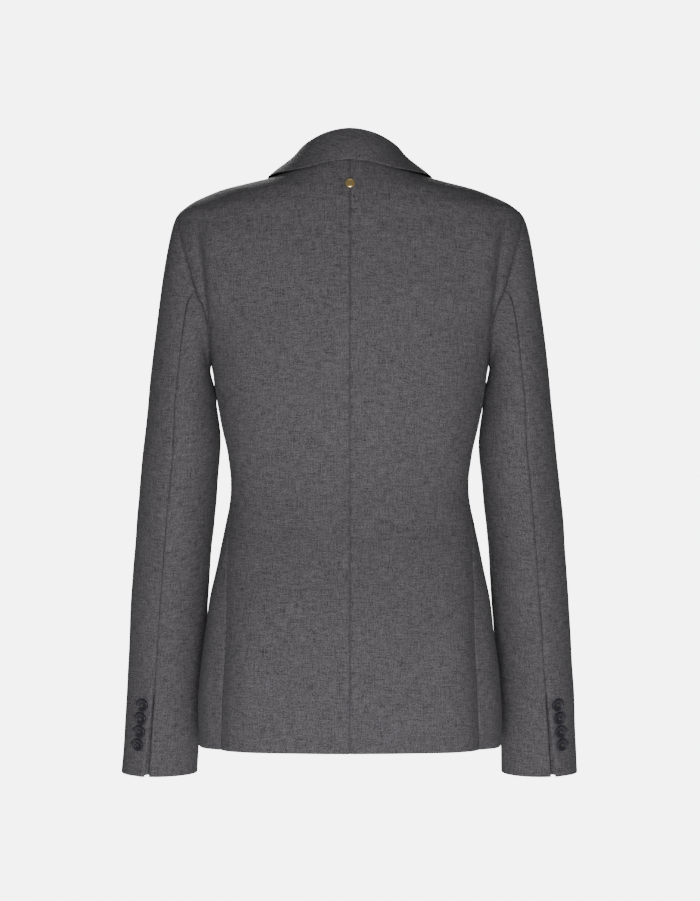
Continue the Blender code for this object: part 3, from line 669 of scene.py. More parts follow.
def front_grid(side, sign):
    corner = HEM + CORNER * (1 - np.cos(np.linspace(0, math.pi / 2, 31)))
    ring = np.concatenate(
        [corner, spaced((HEM + CORNER, FRONT_JOIN, 118))[1:], arm_rows(FRONT_JOIN, 46),
         spaced((TIP, NECK, 26))[1:]]
    )
    start = seam_turn(ring, "before")
    start = np.where(ring > FRONT_JOIN, armhole_turn(ring, False), start)
    start = np.where(ring > TIP - 1e-6, math.pi / 2, start)
    round_off = np.clip((HEM + CORNER - ring) / CORNER, 0, 1)
    past = -OVERLAP + CORNER * (1 - np.sqrt(1 - round_off**2)) * 0.8
    under_roll = roll_x(ring) + 2.6 * MM * soft_step((ring - BREAK_Z) / (30 * MM))
    edge_x = np.minimum(np.where(ring > BREAK_Z, under_roll, past), ROLL_TOP_X)
    end = front_turn(edge_x, ring)
    turn = start[:, None] + (end - start)[:, None] * crowded(96)
    rings = np.broadcast_to(ring[:, None], turn.shape)
    step = lap_step(body(turn, rings)[..., 0], rings, LAP_UPPER[side])
    grid = drawn_in(lifted(turn, rings, step), ("start",))
    relief = body_relief(turn, rings, side, sign)
    relief += edge_relief(grid, ("start",), ("low", "end"))
    return dressed(grid, relief)


make_both("front", front_grid)

# %% [markdown]
# The lapel is the front's own cloth turned back, so its first columns go round the roll in an
# arc, and the rest lies on the chest with a slight spring. Its end is cut to the notch.

# %% The lapels
LIFT = 2.8 * MM
GORGE, NOTCH, NOTCH_SHARE = (51.5 * MM, -52 * MM), (98 * MM, -78 * MM), 0.72
LAPEL_TIP, LAPEL_BELLY = (127 * MM, -94 * MM), 9 * MM
LAPEL_FOOT, LAPEL_ROLL = 3 * MM, 1.9 * MM
ROLL_STEPS = 12


def on_front(x, z, by):
    """The point over the front at x and z, moved out of the surface."""
    ring = np.asarray(z, float)
    return lifted(front_turn(np.asarray(x, float), ring), ring, by)


def lapel_grid(side, sign):
    up = np.linspace(0, 1, 131)[:, None]
    out = crowded(52)
    inner_z = BREAK_Z + (GORGE[1] - BREAK_Z) * up
    inner_x = roll_x(inner_z)
    belly = LAPEL_BELLY * np.sin(math.pi * up) ** 1.5
    outer_z = BREAK_Z + (LAPEL_TIP[1] - BREAK_Z) * up
    outer_x = BREAK_X + (LAPEL_TIP[0] - BREAK_X) * up**0.9 + belly
    x = inner_x + (outer_x - inner_x) * out + LAPEL_FOOT * out * (1 - up) ** 6
    z = inner_z + (outer_z - inner_z) * out
    spring = np.sin(math.pi * out) * np.sin(math.pi * up).clip(0) ** 0.5
    by = LIFT + LAPEL_ROLL * spring + 0.8 * MM * np.sin(7 * up + 3 * out + sign) * out * up
    angle = np.linspace(math.pi, 0, ROLL_STEPS + 1)[:-1]
    line = unit(np.array([BREAK_X - ROLL_TOP_X, BREAK_Z - ROLL_TOP_Z]))
    arc_x = inner_x + ROLL_RADIUS * np.sin(angle) * line[1]
    arc_z = inner_z - ROLL_RADIUS * np.sin(angle) * line[0]
    arc_by = LIFT + ROLL_RADIUS * (np.cos(angle) - 1) + 0 * up
    x = np.concatenate([arc_x, x], axis=1)
    z = np.concatenate([arc_z, z], axis=1)
    by = np.concatenate([arc_by, by], axis=1) + lap_step(x, z, LAP_UPPER[side])
    grid = drawn_in(on_front(x, z, by), ("high",), GORGE_GAP)
    relief = uneven(sign * x, z, SMALL_WAVES) + edge_relief(grid, (), ("end", "high"))
    return dressed(grid, relief)


make_both("lapel", lapel_grid)

# %% [markdown]
# The collar stands up round the neck and falls over along a fold. The fall's cloth goes round
# the fold in an arc, like the lapel's, and the stand comes up inside to meet it.

# %% The collar
FOLD_LINE = ((0, 62, 51.5), (25, 57.5, 47.5), (46, 43, 38.5), (59, 20, 29), (65.5, -5, 18.5),
             (67.5, -26, 4))
COLLAR_LIFT, FOLD_LIFT, COLLAR_ROLL = 2.9 * MM, 2.2 * MM, 2.2 * MM
COLLAR_TIP = (110 * MM, -60 * MM)
COLLAR_EDGE = ((0.0, 14.5, 0), (0.15, 12.5, 18), (0.30, 8.5, 37), (0.42, 8.5, 60),
               (0.52, 10.0, 90), (0.62, 4.0, 109), (0.72, -4.0, 117), (0.82, -16.0, 123.5),
               (0.92, -34.0, 127))
FOLD_RADIUS = 1.7 * MM
STAND_SHARE = 0.56


def fold_line(share):
    """The collar's fold from the centre back (0) to the gorge (1)."""
    level = FOLD_LINE[1] * np.array([-1, 1, 1])
    points = [np.array(p, float) * MM for p in (level, *FOLD_LINE)]
    start = ROLL_TOP_Z - 12 * MM
    for part in (0.35, 0.7, 1.0):
        z = start + (GORGE[1] - start) * part
        points.append(on_front(roll_x(z), z, 1.2 * LIFT))
    points = np.array(points)
    run = length_run(points)
    run -= run[1]
    at = np.asarray(share) * run[-1]
    return np.stack([smooth(run, points[:, k], at) for k in range(3)], axis=-1)


def under(points):
    """The turn and ring of the body straight under points over the front."""
    ring = np.minimum(points[..., 2], NECK - 1 * MM)
    return turn_at(points[..., 0], ring, np.zeros(ring.shape, bool)), ring


def fall_grid():
    share = np.linspace(0, 1, 151)[:, None]
    out = crowded(40)
    fold = fold_line(share[:, 0])[:, None]
    tip_ring = np.array(COLLAR_TIP[1])
    tip_turn = float(turn_at(np.array(COLLAR_TIP[0]), tip_ring, np.array(False)))
    shares = [row[0] for row in COLLAR_EDGE] + [1.0]
    edge_ring = smooth(shares, [row[1] * MM for row in COLLAR_EDGE] + [COLLAR_TIP[1]], share)
    edge_turn = smooth(shares, [math.radians(r[2]) for r in COLLAR_EDGE] + [tip_turn], share)
    edge = lifted(edge_turn, edge_ring, np.full(share.shape, COLLAR_LIFT))
    fold_turn, fold_ring = under(fold)
    notch_turn, notch_ring = under(np.array([NOTCH[0], 0.0, NOTCH[1]]))
    pull = np.clip((share - 0.72) / 0.28, 0, 1) ** 2

    def lay(fold_value, notch_value, edge_value):
        value = fold_value + (edge_value - fold_value) * out
        ends = (fold_value[-1, 0], float(notch_value), edge_value[-1, 0])
        return value + (np.interp(out, (0, NOTCH_SHARE, 1), ends) - value[-1]) * pull

    turn = lay(fold_turn, notch_turn, edge_turn)
    ring = lay(fold_ring, notch_ring, edge_ring)
    lying = lifted(turn, ring, COLLAR_LIFT + FOLD_LIFT * (1 - out) + 0 * turn)
    normal = unit(np.cross(np.gradient(fold, axis=0), edge - fold))
    bulge = COLLAR_ROLL * np.sin(math.pi * out) * (1 - share**3)
    grid = fold + (edge - fold) * out[:, None] + normal * bulge[..., None]
    grid = grid + (lying - grid) * soft_step((share - 0.52) / 0.24)[..., None]
    way = unit(grid[:, 1:2] - grid[:, :1])
    top = outward_normals(grid, body_middle(grid))[:, :1]
    angle = np.linspace(math.pi, 0, ROLL_STEPS + 1)[:-1, None]
    arc = grid[:, :1] + FOLD_RADIUS * ((np.cos(angle) - 1) * top - np.sin(angle) * way)
    return drawn_in(np.concatenate([arc, grid], axis=1), ("high",), GORGE_GAP)


def both_halves(half):
    """A grid and its mirror image, sharing the line on the centre plane."""
    half = half.copy()
    half[0, :, 0] = 0
    return np.concatenate([half[:0:-1] * np.array([-1.0, 1.0, 1.0]), half])


half_fall = fall_grid()
grid = both_halves(half_fall)
relief = edge_relief(grid, (), ("low", "high", "end"))
relief += uneven(grid[..., 0], grid[..., 2] + grid[..., 1], SMALL_WAVES)
make_cloth("cloth_collar_fall", dressed(grid, relief))

share = np.linspace(0, STAND_SHARE, 86)
top = fold_line(share) * np.array([0.97, 0.97, 1]) - np.array([0, 0, 2.8 * MM])
low_turn = share / STAND_SHARE * math.radians(98)
low = body(low_turn, np.full(share.shape, NECK)) + np.array([0, 0, 0.5 * MM])
rise = np.linspace(0, 1, 15)[:, None]
stand = low[:, None] + (top - low)[:, None] * rise
make_cloth("cloth_collar_stand", both_halves(stand))

# %% [markdown]
# Each sleeve is two pieces. The upper one goes round the outside, and the under one round the
# inside. The cap is a smooth curve from each point of the armhole out over the end of the
# shoulder, and below it the sections are ellipses square to an arm that hangs forward. The
# head's edge lies in the groove of the armhole seam, with a little cloth turned in behind it.

# %% The form of the sleeve
SLEEVE_RADIUS = 46 * MM
SLIT_TOP, UNDERLAP, CUFF_LEVEL = -560 * MM, 8 * MM, 5 * MM
UNDERLAP_DEPTH, UNDERLAP_END = 8.5 * MM, 0.7  # how far it sinks, and the share it rises again
UNDERLAP_SINK, UNDERLAP_FLAT, UNDERLAP_RISE = 1.2 * MM, 4.5 * MM, 5 * MM
CUFF_TILT, CREASE_LEAST = 0.75, 0.15
HEM_ROWS = np.array([1.7, 1.1, 0.6, 0.2, 0.0]) * MM  # the last rows' heights above the cuff
SLIT_LIFT, SLIT_REACH, SLIT_WAVE, SLIT_WAVE_LENGTH = 1.5 * MM, 7 * MM, 0.35, 15.5 * MM
SLIT_RADIUS = 42 * MM
ALLOWANCE, SETTLE = 6 * MM, 14 * MM  # cloth turned in at the armhole, and eased beside it


def sleeve_sizes(z):
    outer, inner, middle, half_depth = (
        column(SLEEVE, name, z) * MM for name in SLEEVE[0][1:]
    )
    return (outer + inner) / 2, middle, (outer - inner) / 2, half_depth


def sleeve_ring(turn, z):
    """An ellipse whose plane leans with the arm."""
    x, y, half_width, half_depth = sleeve_sizes(z)
    small = 1e-3
    lean = (sleeve_sizes(z + small)[1] - sleeve_sizes(z)[1]) / small
    lean = lean * np.clip((SLEEVE_TOP - z) / 0.1, 0, 1)
    behind = half_depth * np.cos(turn)
    return np.stack([x + half_width * np.sin(turn), y + behind, z - lean * behind], axis=-1)


def arm_place(turn):
    """The turn and ring, on the body, of a place round the armhole. Its top is a quarter turn."""
    flat, tall = np.cos(turn), np.sin(turn)
    reach = (np.abs(flat) ** ARM_ROUND + np.abs(tall) ** ARM_ROUND) ** (-1 / ARM_ROUND)
    y = np.where(flat > 0, ARM_BEHIND, ARM_BEFORE) * reach * flat
    z = ARM_MIDDLE + ARM_HALF_HEIGHT * reach * tall
    return turn_at_y(y, z), z


def sleeve(turn, down):
    """down is 0 at the armhole, 1 at the first full ellipse and 2 at the cuff. The cap is a
    cubic from the armhole to the ellipse, with a slope given at each end."""
    turn, down = np.broadcast_arrays(np.asarray(turn, float), np.asarray(down, float))
    start, end = body(*arm_place(turn)), sleeve_ring(turn, np.full(turn.shape, SLEEVE_TOP))
    drop = (start - end)[..., 2]
    high = (1 + np.sin(turn)) / 2
    leave = np.stack([0.018 + 0.017 * high, 0.012 * np.cos(turn), -0.12 * drop], axis=-1)
    arrive = np.stack([0.09 * drop, -0.03 * drop, -1.15 * drop], axis=-1)
    t = np.clip(down, 0, 1)[..., None]
    cap = (1 + 2 * t) * (1 - t) ** 2 * start + t * t * (3 - 2 * t) * end
    cap = cap + t * (1 - t) ** 2 * leave - t * t * (1 - t) * arrive
    z = SLEEVE_TOP + (CUFF - SLEEVE_TOP) * np.clip(down - 1, 0, 1)
    return np.where((down > 1)[..., None], sleeve_ring(turn, z), cap)


def sleeve_height(down):
    """The height that the seam tables use at a place down the sleeve."""
    cap = ARM_MIDDLE + (SLEEVE_TOP - ARM_MIDDLE) * np.clip(down, 0, 1)
    return np.where(down > 1, SLEEVE_TOP + (CUFF - SLEEVE_TOP) * (down - 1), cap)


def sleeve_middle(grid):
    z = np.minimum(grid[..., 2], SLEEVE_TOP)
    x, y, _, _ = sleeve_sizes(z)
    level = np.where(grid[..., 2] > SLEEVE_TOP, np.minimum(grid[..., 2], ARM_MIDDLE), z)
    return np.stack([x, y, level], axis=-1)


# %% [markdown]
# A sleeve creases most at the elbow, where the arm bends, in soft slanting folds that start
# at the inner edge. The two sleeves differ a little, as two worn sleeves do.

# %% The sleeve pieces
SLEEVE_CREASES = {
    "left": (
        (96, -352, 34, -396, 13, 1.3), (70, -402, 20, -432, 12, 1.0),
        (110, -430, 50, -470, 16, 0.9), (250, -330, 320, -366, 13, 1.4),
        (240, -368, 330, -392, 12, 1.2), (262, -408, 318, -420, 13, 0.9),
        (370, -505, 300, -514, 10, 0.9), (60, -540, 110, -600, 19, 0.7),
        (120, -196, 160, -262, 16, 1.1), (170, -300, 200, -372, 14, 1.0),
        (150, -398, 205, -420, 13, 1.1), (140, -520, 190, -560, 17, 0.7),
    ),
    "right": (
        (92, -346, 30, -390, 13, 1.2), (76, -408, 24, -436, 13, 1.1),
        (104, -438, 44, -474, 14, 0.8), (246, -334, 322, -370, 14, 1.3),
        (238, -374, 326, -398, 12, 1.1), (268, -414, 322, -424, 12, 1.0),
        (368, -500, 304, -512, 10, 0.8), (66, -548, 104, -606, 17, 0.8),
        (116, -200, 158, -268, 17, 1.0), (166, -306, 204, -378, 14, 1.1),
        (154, -404, 210, -430, 13, 1.0), (144, -528, 186, -566, 16, 0.8),
    ),
}


def sleeve_piece(side, sign, is_upper):
    """The upper piece runs from the hind seam to the fore seam, and the under piece on from
    there. At the cuff's slit the upper piece is lifted and waves a little between its buttons,
    and the under piece runs on behind it, sunk, as an underlap."""
    hem_rows = 2 - HEM_ROWS / (SLEEVE_TOP - CUFF)
    down = [np.linspace(0, 1, 76) ** 1.25, np.linspace(1, 2, 161)[1:-1], hem_rows]
    down = np.concatenate(down)[:, None]
    height = sleeve_height(down)
    hind, fore = (np.radians(column(TURNS, n, height)) for n in ("hind", "fore"))
    slit = column(TURNS, "slit", height) * MM / 2 / SLIT_RADIUS
    start, end = (hind + slit, fore) if is_upper else (fore, hind + 2 * math.pi - slit)
    turn = start + (end - start) * crowded(76 if is_upper else 56)
    open_part = soft_step((SLIT_TOP - height) / (18 * MM))
    if not is_upper:
        turn = turn + (turn - start) / (end - start) * open_part * UNDERLAP / SLIT_RADIUS
    grid = sleeve(turn, down)
    level = soft_step((down - 1.7) / 0.3) * CUFF_LEVEL
    grid[..., 2] -= level * (CUFF_TILT - np.cos(turn))
    grid = drawn_in(grid, ("start", "end"))
    high = np.broadcast_to(height, turn.shape)
    turned_by = turn % (2 * math.pi)
    share = CREASE_LEAST + (1 - CREASE_LEAST) * np.cos(turn) ** 2
    relief = -share * creased(turned_by, high, SLEEVE_CREASES[side], SLEEVE_RADIUS)
    along = high + 0.3 * np.cos(turn) * SLEEVE_RADIUS
    relief += uneven(sign * SLEEVE_RADIUS * np.sin(turn), along)
    relief *= soft_step(down / 0.25)
    relief += edge_relief(grid, ("start", "end", "low"), ("high",))
    if not is_upper:
        run = travelled(grid, 1)
        past = run - run[:, -1:] + (UNDERLAP + 1 * MM) * open_part
        risen = 1 - UNDERLAP_END * soft_step((past - UNDERLAP_FLAT) / UNDERLAP_RISE)
        relief -= UNDERLAP_DEPTH * open_part * soft_step(past / UNDERLAP_SINK) * risen
    else:
        near = np.exp(-((travelled(grid, 1) / SLIT_REACH) ** 2))
        wave = 1 + SLIT_WAVE * np.sin(height / SLIT_WAVE_LENGTH * 2 * math.pi)
        relief += SLIT_LIFT * open_part * near * wave
    grid = dressed(grid, relief, sleeve_middle)
    around, ring = arm_place(turn[:1])
    near = 1 - soft_step(travelled(grid, 0) / SETTLE)
    grid = grid + (lifted(around, ring, -GROOVE_DEPTH) - grid[:1]) * near[..., None]
    return np.concatenate([lifted(around, ring, -GROOVE_DEPTH - ALLOWANCE), grid])


for side, sign in SIDES:
    for kind in ("upper", "under"):
        grid = sleeve_piece(side, sign, kind == "upper")
        make_cloth(f"cloth_{kind}_sleeve_{side}", grid, sign < 0, sleeve_middle, True)

# %% [markdown]
# A suit button is turned from horn or cast resin: a raised rim, a dished middle and four
# holes. The disc is a surface of revolution, and the holes are narrow pits in its height.
# Two crossed loops of thread hold it.

# %% Buttons
CUFF_BUTTON, FRONT_BUTTON, STUD = 15 * MM, 20 * MM, 11 * MM
CUFF_BUTTONS = ((-583.0, 29.0), (-598.5, 30.5), (-614.0, 31.5), (-629.5, 33.0))
FRONT_BUTTON_Z, STUD_Z = -330 * MM, -12 * MM
SHANK_RADIUS, SHANK_HEIGHTS = 0.12, (-2.6, -2.6, -1.0, 0.3, 0.3)
HOLE_RADIUS, HOLE_SPREAD, HOLE_DEPTH = 0.07, 0.145, 0.42


def spun(radius, height, steps):
    """A profile turned round the Z axis."""
    angle = np.linspace(0, 2 * math.pi, steps + 1)[:, None]
    return np.stack([radius * np.cos(angle), radius * np.sin(angle), height + 0 * angle], -1)


def joined(name, grids):
    """One mesh of several grids."""
    starts = np.cumsum([0] + [part.shape[0] * part.shape[1] for part in grids])
    quads = [grid_quads(*part.shape[:2]) + first for part, first in zip(grids, starts)]
    return mesh_object(
        name, np.concatenate([part.reshape(-1, 3) for part in grids]), np.concatenate(quads)
    )


def button_disc(size):
    """Radius and height run along a smooth profile, and each hole takes a pit out of it."""
    r, t = size / 2, size * 0.2
    knots = np.array([(0, 0), (0.8, 0), (0.97, 0.35), (1, 0.6), (0.93, 0.95), (0.8, 1),
                      (0.66, 0.8), (0.35, 0.6), (0, 0.55)]) * (r, t)
    run = length_run(knots)
    at = np.linspace(0, run[-1], 74)
    radius, height = (np.interp(at, run, knots[:, k]) for k in (0, 1))
    soft = np.array([0.25, 0.5, 0.25])
    radius[1:-1], height[1:-1] = (np.convolve(v, soft, "valid") for v in (radius, height))
    disc = spun(radius, height, 64)
    top = at > run[5]
    away = HOLE_SPREAD * size / 1.414
    for sx, sy in ((-1, -1), (-1, 1), (1, -1), (1, 1)):
        gap = np.hypot(disc[..., 0] - sx * away, disc[..., 1] - sy * away)
        pit = np.exp(-((gap / (HOLE_RADIUS * size)) ** 4))
        disc[..., 2] -= top * pit * t * HOLE_DEPTH
    return disc


def thread_loop(size, heading):
    """A low arch of thread from one hole to the hole across, as a tube round an arc."""
    t = size * 0.2
    along = np.linspace(-1, 1, 15)[:, None]
    angle = np.linspace(0, 2 * math.pi, 9)
    thick = 0.03 * size
    run = along * HOLE_SPREAD * size
    x = run + 0 * angle
    y = thick * np.cos(angle) + 0 * along
    z = t * (0.5 + 0.22 * (1 - along**4)) + thick * np.sin(angle)
    return np.stack([x * math.cos(heading) - y * math.sin(heading),
                     x * math.sin(heading) + y * math.cos(heading), z], axis=-1)


def shank(size):
    """The wound thread between the cloth and the button, a short closed tube."""
    radius = np.array([0.0, 1, 0.9, 1, 0]) * SHANK_RADIUS * size
    return spun(radius, np.array(SHANK_HEIGHTS) * MM, 16)


def stud_disc():
    """A plain low dome on a thin foot, with no mark on it."""
    r = STUD / 2
    arc = np.radians(np.linspace(0, 90, 22))
    radius = np.concatenate([np.linspace(0, 0.96, 8) * r, [r], r * np.cos(arc)])
    rise = 0.9 * MM + 1.9 * MM * np.sin(arc)
    return spun(radius, np.concatenate([np.zeros(8), [0.3 * MM], rise]), 64)


def placed(points, place, facing, sign):
    """Turns points whose top is +Z to face a direction, and moves them to their place."""
    flip = np.array([sign, 1.0, 1.0])
    turn = np.array(Vector(facing * flip).to_track_quat("Z", "Y").to_matrix())
    return points @ turn.T + place * flip


def seat_on(surface, a, b, gap, away):
    """Points of a surface at (a, b), moved out by the gap, and their outward directions."""
    small = 1e-4
    here = surface(a, b)
    out = unit(np.cross(surface(a, b + small) - here, surface(a + small, b) - here))
    out *= np.sign((out @ away).sum())
    return here + out * np.asarray(gap)[..., None], out


def turned_piece(name, grid):
    """A closed surface of revolution. Its first and last columns meet on the axis."""
    obj = mesh_object(name, grid.reshape(-1, 3), grid_quads(*grid.shape[:2]))
    obj.data.validate()
    weld = obj.modifiers.new("join", "WELD")
    weld.merge_threshold = 2e-6
    return obj


HARD_PIECES = []


def add_button(name, node, size, place, facing, sign):
    disc = turned_piece(name, placed(button_disc(size), place, facing, sign))
    grids = [thread_loop(size, h) for h in (0.785, 2.356)] + [shank(size)]
    thread = joined(f"{name}_thread", [placed(part, place, facing, sign) for part in grids])
    HARD_PIECES.append((disc, node, "button", "horn"))
    HARD_PIECES.append((thread, None, "button", "thread"))


def down_to(z):
    """How far down the sleeve a height in millimetres is, on sleeve()'s own scale."""
    return 1 + (z * MM - SLEEVE_TOP) / (CUFF - SLEEVE_TOP)


def over_front(x, z):
    """The outer face of the upper front."""
    return on_front(x, z, lap_step(x, z, True))


BEHIND, BEFORE = np.array([0.0, 1.0, 0.0]), np.array([0.0, -1.0, 0.0])
for side, sign in SIDES:
    for number, (z, turn) in enumerate(CUFF_BUTTONS, 1):
        place, facing = seat_on(sleeve, math.radians(turn), down_to(z), 0.9 * MM, BEHIND)
        node = f"cuff_button_{side}_{number}"
        add_button(f"turned_{node}", node, CUFF_BUTTON, place, facing, sign)

place, facing = seat_on(over_front, 0.0, FRONT_BUTTON_Z, 0.3 * MM, BEFORE)
add_button("turned_front_button", "front_button", FRONT_BUTTON, place, facing, -1)

place, facing = seat_on(body, 0.0, STUD_Z, 0.3 * MM, BEHIND)
stud = turned_piece("plain_stud", placed(stud_disc(), place, facing, 1))
HARD_PIECES.append((stud, "back_stud", "stud", "gold"))
print(len(HARD_PIECES), "buttons, threads and studs")

# %% [markdown]
# Beside each cuff button the sleeve has a worked buttonhole, which is a slot with stitches laid
# close together round it. Here it is a long loop whose thickness ripples once for each stitch.

# %% Buttonholes
HOLE_LENGTH, HOLE_WIDTH, STITCH = 9.0 * MM, 1.7 * MM, 0.33 * MM
STITCHES, HOLE_BESIDE = 44, 10.5 * MM


def buttonhole(surface, a, b, a_scale, b_scale, away, length=HOLE_LENGTH, rise=0.25 * MM):
    """A closed loop round a slot, laid on a surface: (a, b) is its middle, and the scales are
    metres for each unit of a and b."""
    round_it = np.linspace(0, 2 * math.pi, 4 * STITCHES + 1)[:, None]
    tube = np.linspace(0, 2 * math.pi, 9)
    ripple = STITCH * (1 + 0.28 * np.cos(STITCHES * round_it))
    flat = HOLE_WIDTH / 2 + ripple * np.cos(tube)
    u = np.sign(np.cos(round_it)) * (length / 2 - HOLE_WIDTH) * np.abs(np.cos(round_it)) ** 0.6
    u = u + flat * np.cos(round_it)
    v = flat * np.sin(round_it)
    h = rise + ripple * np.sin(tube)
    return seat_on(surface, a + u / a_scale, b + v / b_scale, h, away)[0]


def stitched(name, loops):
    HARD_PIECES.append((joined(name, loops), None, "cloth", "thread"))


for side, sign in SIDES:
    loops = []
    for z, turn in CUFF_BUTTONS:
        middle = math.radians(turn) + HOLE_BESIDE / SLEEVE_RADIUS
        loop = buttonhole(sleeve, middle, down_to(z), SLEEVE_RADIUS, SLEEVE_TOP - CUFF, BEHIND,
                          rise=0.5 * MM)
        loops.append(loop * np.array([sign, 1.0, 1.0]))
    stitched(f"cuff_buttonholes_{side}", loops)

front_hole = buttonhole(over_front, 5.5 * MM, FRONT_BUTTON_Z, 1.0, 1.0, BEFORE,
                        length=24 * MM, rise=0.3 * MM)
stitched("front_buttonhole", [front_hole * np.array([-1.0, 1.0, 1.0])])

# %% [markdown]
# The cloth is a melange wool: dark and pale fibres spun together, so it is flecked at close
# range and an even dark grey from afar. A shader group makes the flecks and a fine twill from
# the UV map, and the nap shows as a slight sheen where the cloth turns away.

# %% Materials
WOOL_COLOUR = (0.104, 0.099, 0.106, 1.0)


class Graph:
    """Short names for adding nodes to a tree and joining them."""

    def __init__(self, tree):
        self.tree = tree

    def add(self, kind, **settings):
        node = self.tree.nodes.new(kind)
        for key, value in settings.items():
            setattr(node, key, value)
        return node

    def join(self, start, end):
        self.tree.links.new(start, end)

    def maths(self, operation, a, b):
        node = self.add("ShaderNodeMath", operation=operation)
        for socket, value in zip(node.inputs, (a, b)):
            if isinstance(value, (int, float)):
                socket.default_value = value
            else:
                self.join(value, socket)
        return node.outputs[0]

    def noise(self, place, scale, detail=2.0):
        node = self.add("ShaderNodeTexNoise")
        node.inputs["Scale"].default_value = scale
        node.inputs["Detail"].default_value = detail
        self.join(place, node.inputs["Vector"])
        return node.outputs["Fac"]

    def centred(self, place, scale, detail=2.0):
        return self.maths("SUBTRACT", self.noise(place, scale, detail), 0.5)

    def scaled(self, colour, by):
        node = self.add("ShaderNodeVectorMath", operation="SCALE")
        self.join(colour, node.inputs[0])
        self.join(by, node.inputs["Scale"])
        return node.outputs[0]

    def seen_or_not(self, unseen, seen, surface):
        """One shader for what the camera sees directly, and another for the light it gives."""
        mix = self.add("ShaderNodeMixShader")
        self.join(self.add("ShaderNodeLightPath").outputs["Is Camera Ray"], mix.inputs[0])
        self.join(unseen.outputs[0], mix.inputs[1])
        self.join(seen.outputs[0], mix.inputs[2])
        self.join(mix.outputs[0], surface)

    def stretched(self, place, scale):
        node = self.add("ShaderNodeMapping")
        node.inputs["Scale"].default_value = scale
        self.join(place, node.inputs["Vector"])
        return node.outputs["Vector"]


VECTOR, COLOUR, NUMBER = "NodeSocketVector", "NodeSocketColor", "NodeSocketFloat"


def group_with(name, inputs, outputs):
    tree = bpy.data.node_groups.new(name, "ShaderNodeTree")
    for label, kind in inputs:
        tree.interface.new_socket(label, in_out="INPUT", socket_type=kind)
    for label, kind in outputs:
        tree.interface.new_socket(label, in_out="OUTPUT", socket_type=kind)
    graph = Graph(tree)
    return tree, graph, graph.add("NodeGroupInput"), graph.add("NodeGroupOutput")


def melange_group():
    """Brightness is 1 + fleck + streak + patch, each a noise less its middle. Height is the
    twill's ribs, which run across and along at once, with the fleck's fuzz on them."""
    tree, g, start, end = group_with(
        "melange wool",
        (("Place", VECTOR), ("Colour", COLOUR), ("Fleck", NUMBER)),
        (("Colour", COLOUR), ("Height", NUMBER), ("Roughness", NUMBER)),
    )
    place = start.outputs["Place"]
    fleck = g.centred(place, 620.0, 3.0)
    weft = g.centred(g.stretched(place, (60, 900, 1)), 1.0)
    warp = g.centred(g.stretched(place, (900, 60, 1)), 1.0)
    mottle = g.centred(g.stretched(place, (130, 210, 1)), 1.0, 3.0)
    patch = g.centred(place, 22.0)
    streak = g.maths("MULTIPLY", g.maths("ADD", weft, warp), 0.55)
    total = g.maths("ADD", g.maths("MULTIPLY", fleck, 1.25), streak)
    total = g.maths("ADD", total, g.maths("MULTIPLY", mottle, 0.4))
    total = g.maths("MULTIPLY", total, start.outputs["Fleck"])
    total = g.maths("ADD", total, g.maths("MULTIPLY", patch, 0.16))
    bright = g.maths("ADD", total, 1.0)
    g.join(g.scaled(start.outputs["Colour"], bright), end.inputs["Colour"])
    twill = g.add("ShaderNodeTexWave", wave_type="BANDS", bands_direction="DIAGONAL")
    twill.inputs["Scale"].default_value = 260.0
    twill.inputs["Distortion"].default_value = 1.2
    g.join(place, twill.inputs["Vector"])
    height = g.maths("ADD", g.maths("MULTIPLY", twill.outputs["Fac"], 0.45), fleck)
    g.join(height, end.inputs["Height"])
    g.join(g.maths("ADD", g.maths("MULTIPLY", fleck, 0.2), 0.88), end.inputs["Roughness"])
    return tree


def grain_group():
    """Brightness 1 + strength x (noise - 0.5), and the same noise as a height."""
    tree, g, start, end = group_with(
        "soft grain",
        (("Place", VECTOR), ("Colour", COLOUR), ("Strength", NUMBER)),
        (("Colour", COLOUR), ("Height", NUMBER)),
    )
    noise = g.noise(start.outputs["Place"], 340.0, 3.0)
    swing = g.maths("MULTIPLY", g.maths("SUBTRACT", noise, 0.5), start.outputs["Strength"])
    bright = g.maths("ADD", swing, 1.0)
    g.join(g.scaled(start.outputs["Colour"], bright), end.inputs["Colour"])
    g.join(noise, end.inputs["Height"])
    return tree


MELANGE, GRAIN = melange_group(), grain_group()


def fed_by_group(name, colour, amount, woven=False):
    """A material whose Principled shader has its colour from the wool group, on the cloth's
    own UV map, where it is woven, and else from the grain group."""
    made = bpy.data.materials.new(name)
    made.use_nodes = True
    g = Graph(made.node_tree)
    shader = made.node_tree.nodes["Principled BSDF"]
    group = g.add("ShaderNodeGroup", node_tree=MELANGE if woven else GRAIN)
    place = g.add("ShaderNodeUVMap" if woven else "ShaderNodeTexCoord")
    if woven:
        place.uv_map = "cloth"
    g.join(place.outputs["UV" if woven else "Object"], group.inputs["Place"])
    group.inputs["Colour"].default_value = colour
    group.inputs[2].default_value = amount
    g.join(group.outputs["Colour"], shader.inputs["Base Color"])
    return made, g, shader, group


def material(name, colour, amount, roughness, bump, woven=False, **fixed):
    """A finish with a bump in metres. fixed holds constants by socket name."""
    made, g, shader, group = fed_by_group(name, colour, amount, woven)
    relief = g.add("ShaderNodeBump")
    relief.inputs["Strength"].default_value = 1.0
    relief.inputs["Distance"].default_value = bump
    g.join(group.outputs["Height"], relief.inputs["Height"])
    g.join(relief.outputs["Normal"], shader.inputs["Normal"])
    shader.inputs["Roughness"].default_value = roughness
    if woven:
        g.join(group.outputs["Roughness"], shader.inputs["Roughness"])
    for socket, value in fixed.items():
        shader.inputs[socket.replace("_", " ")].default_value = value
    made.diffuse_color = colour
    return made


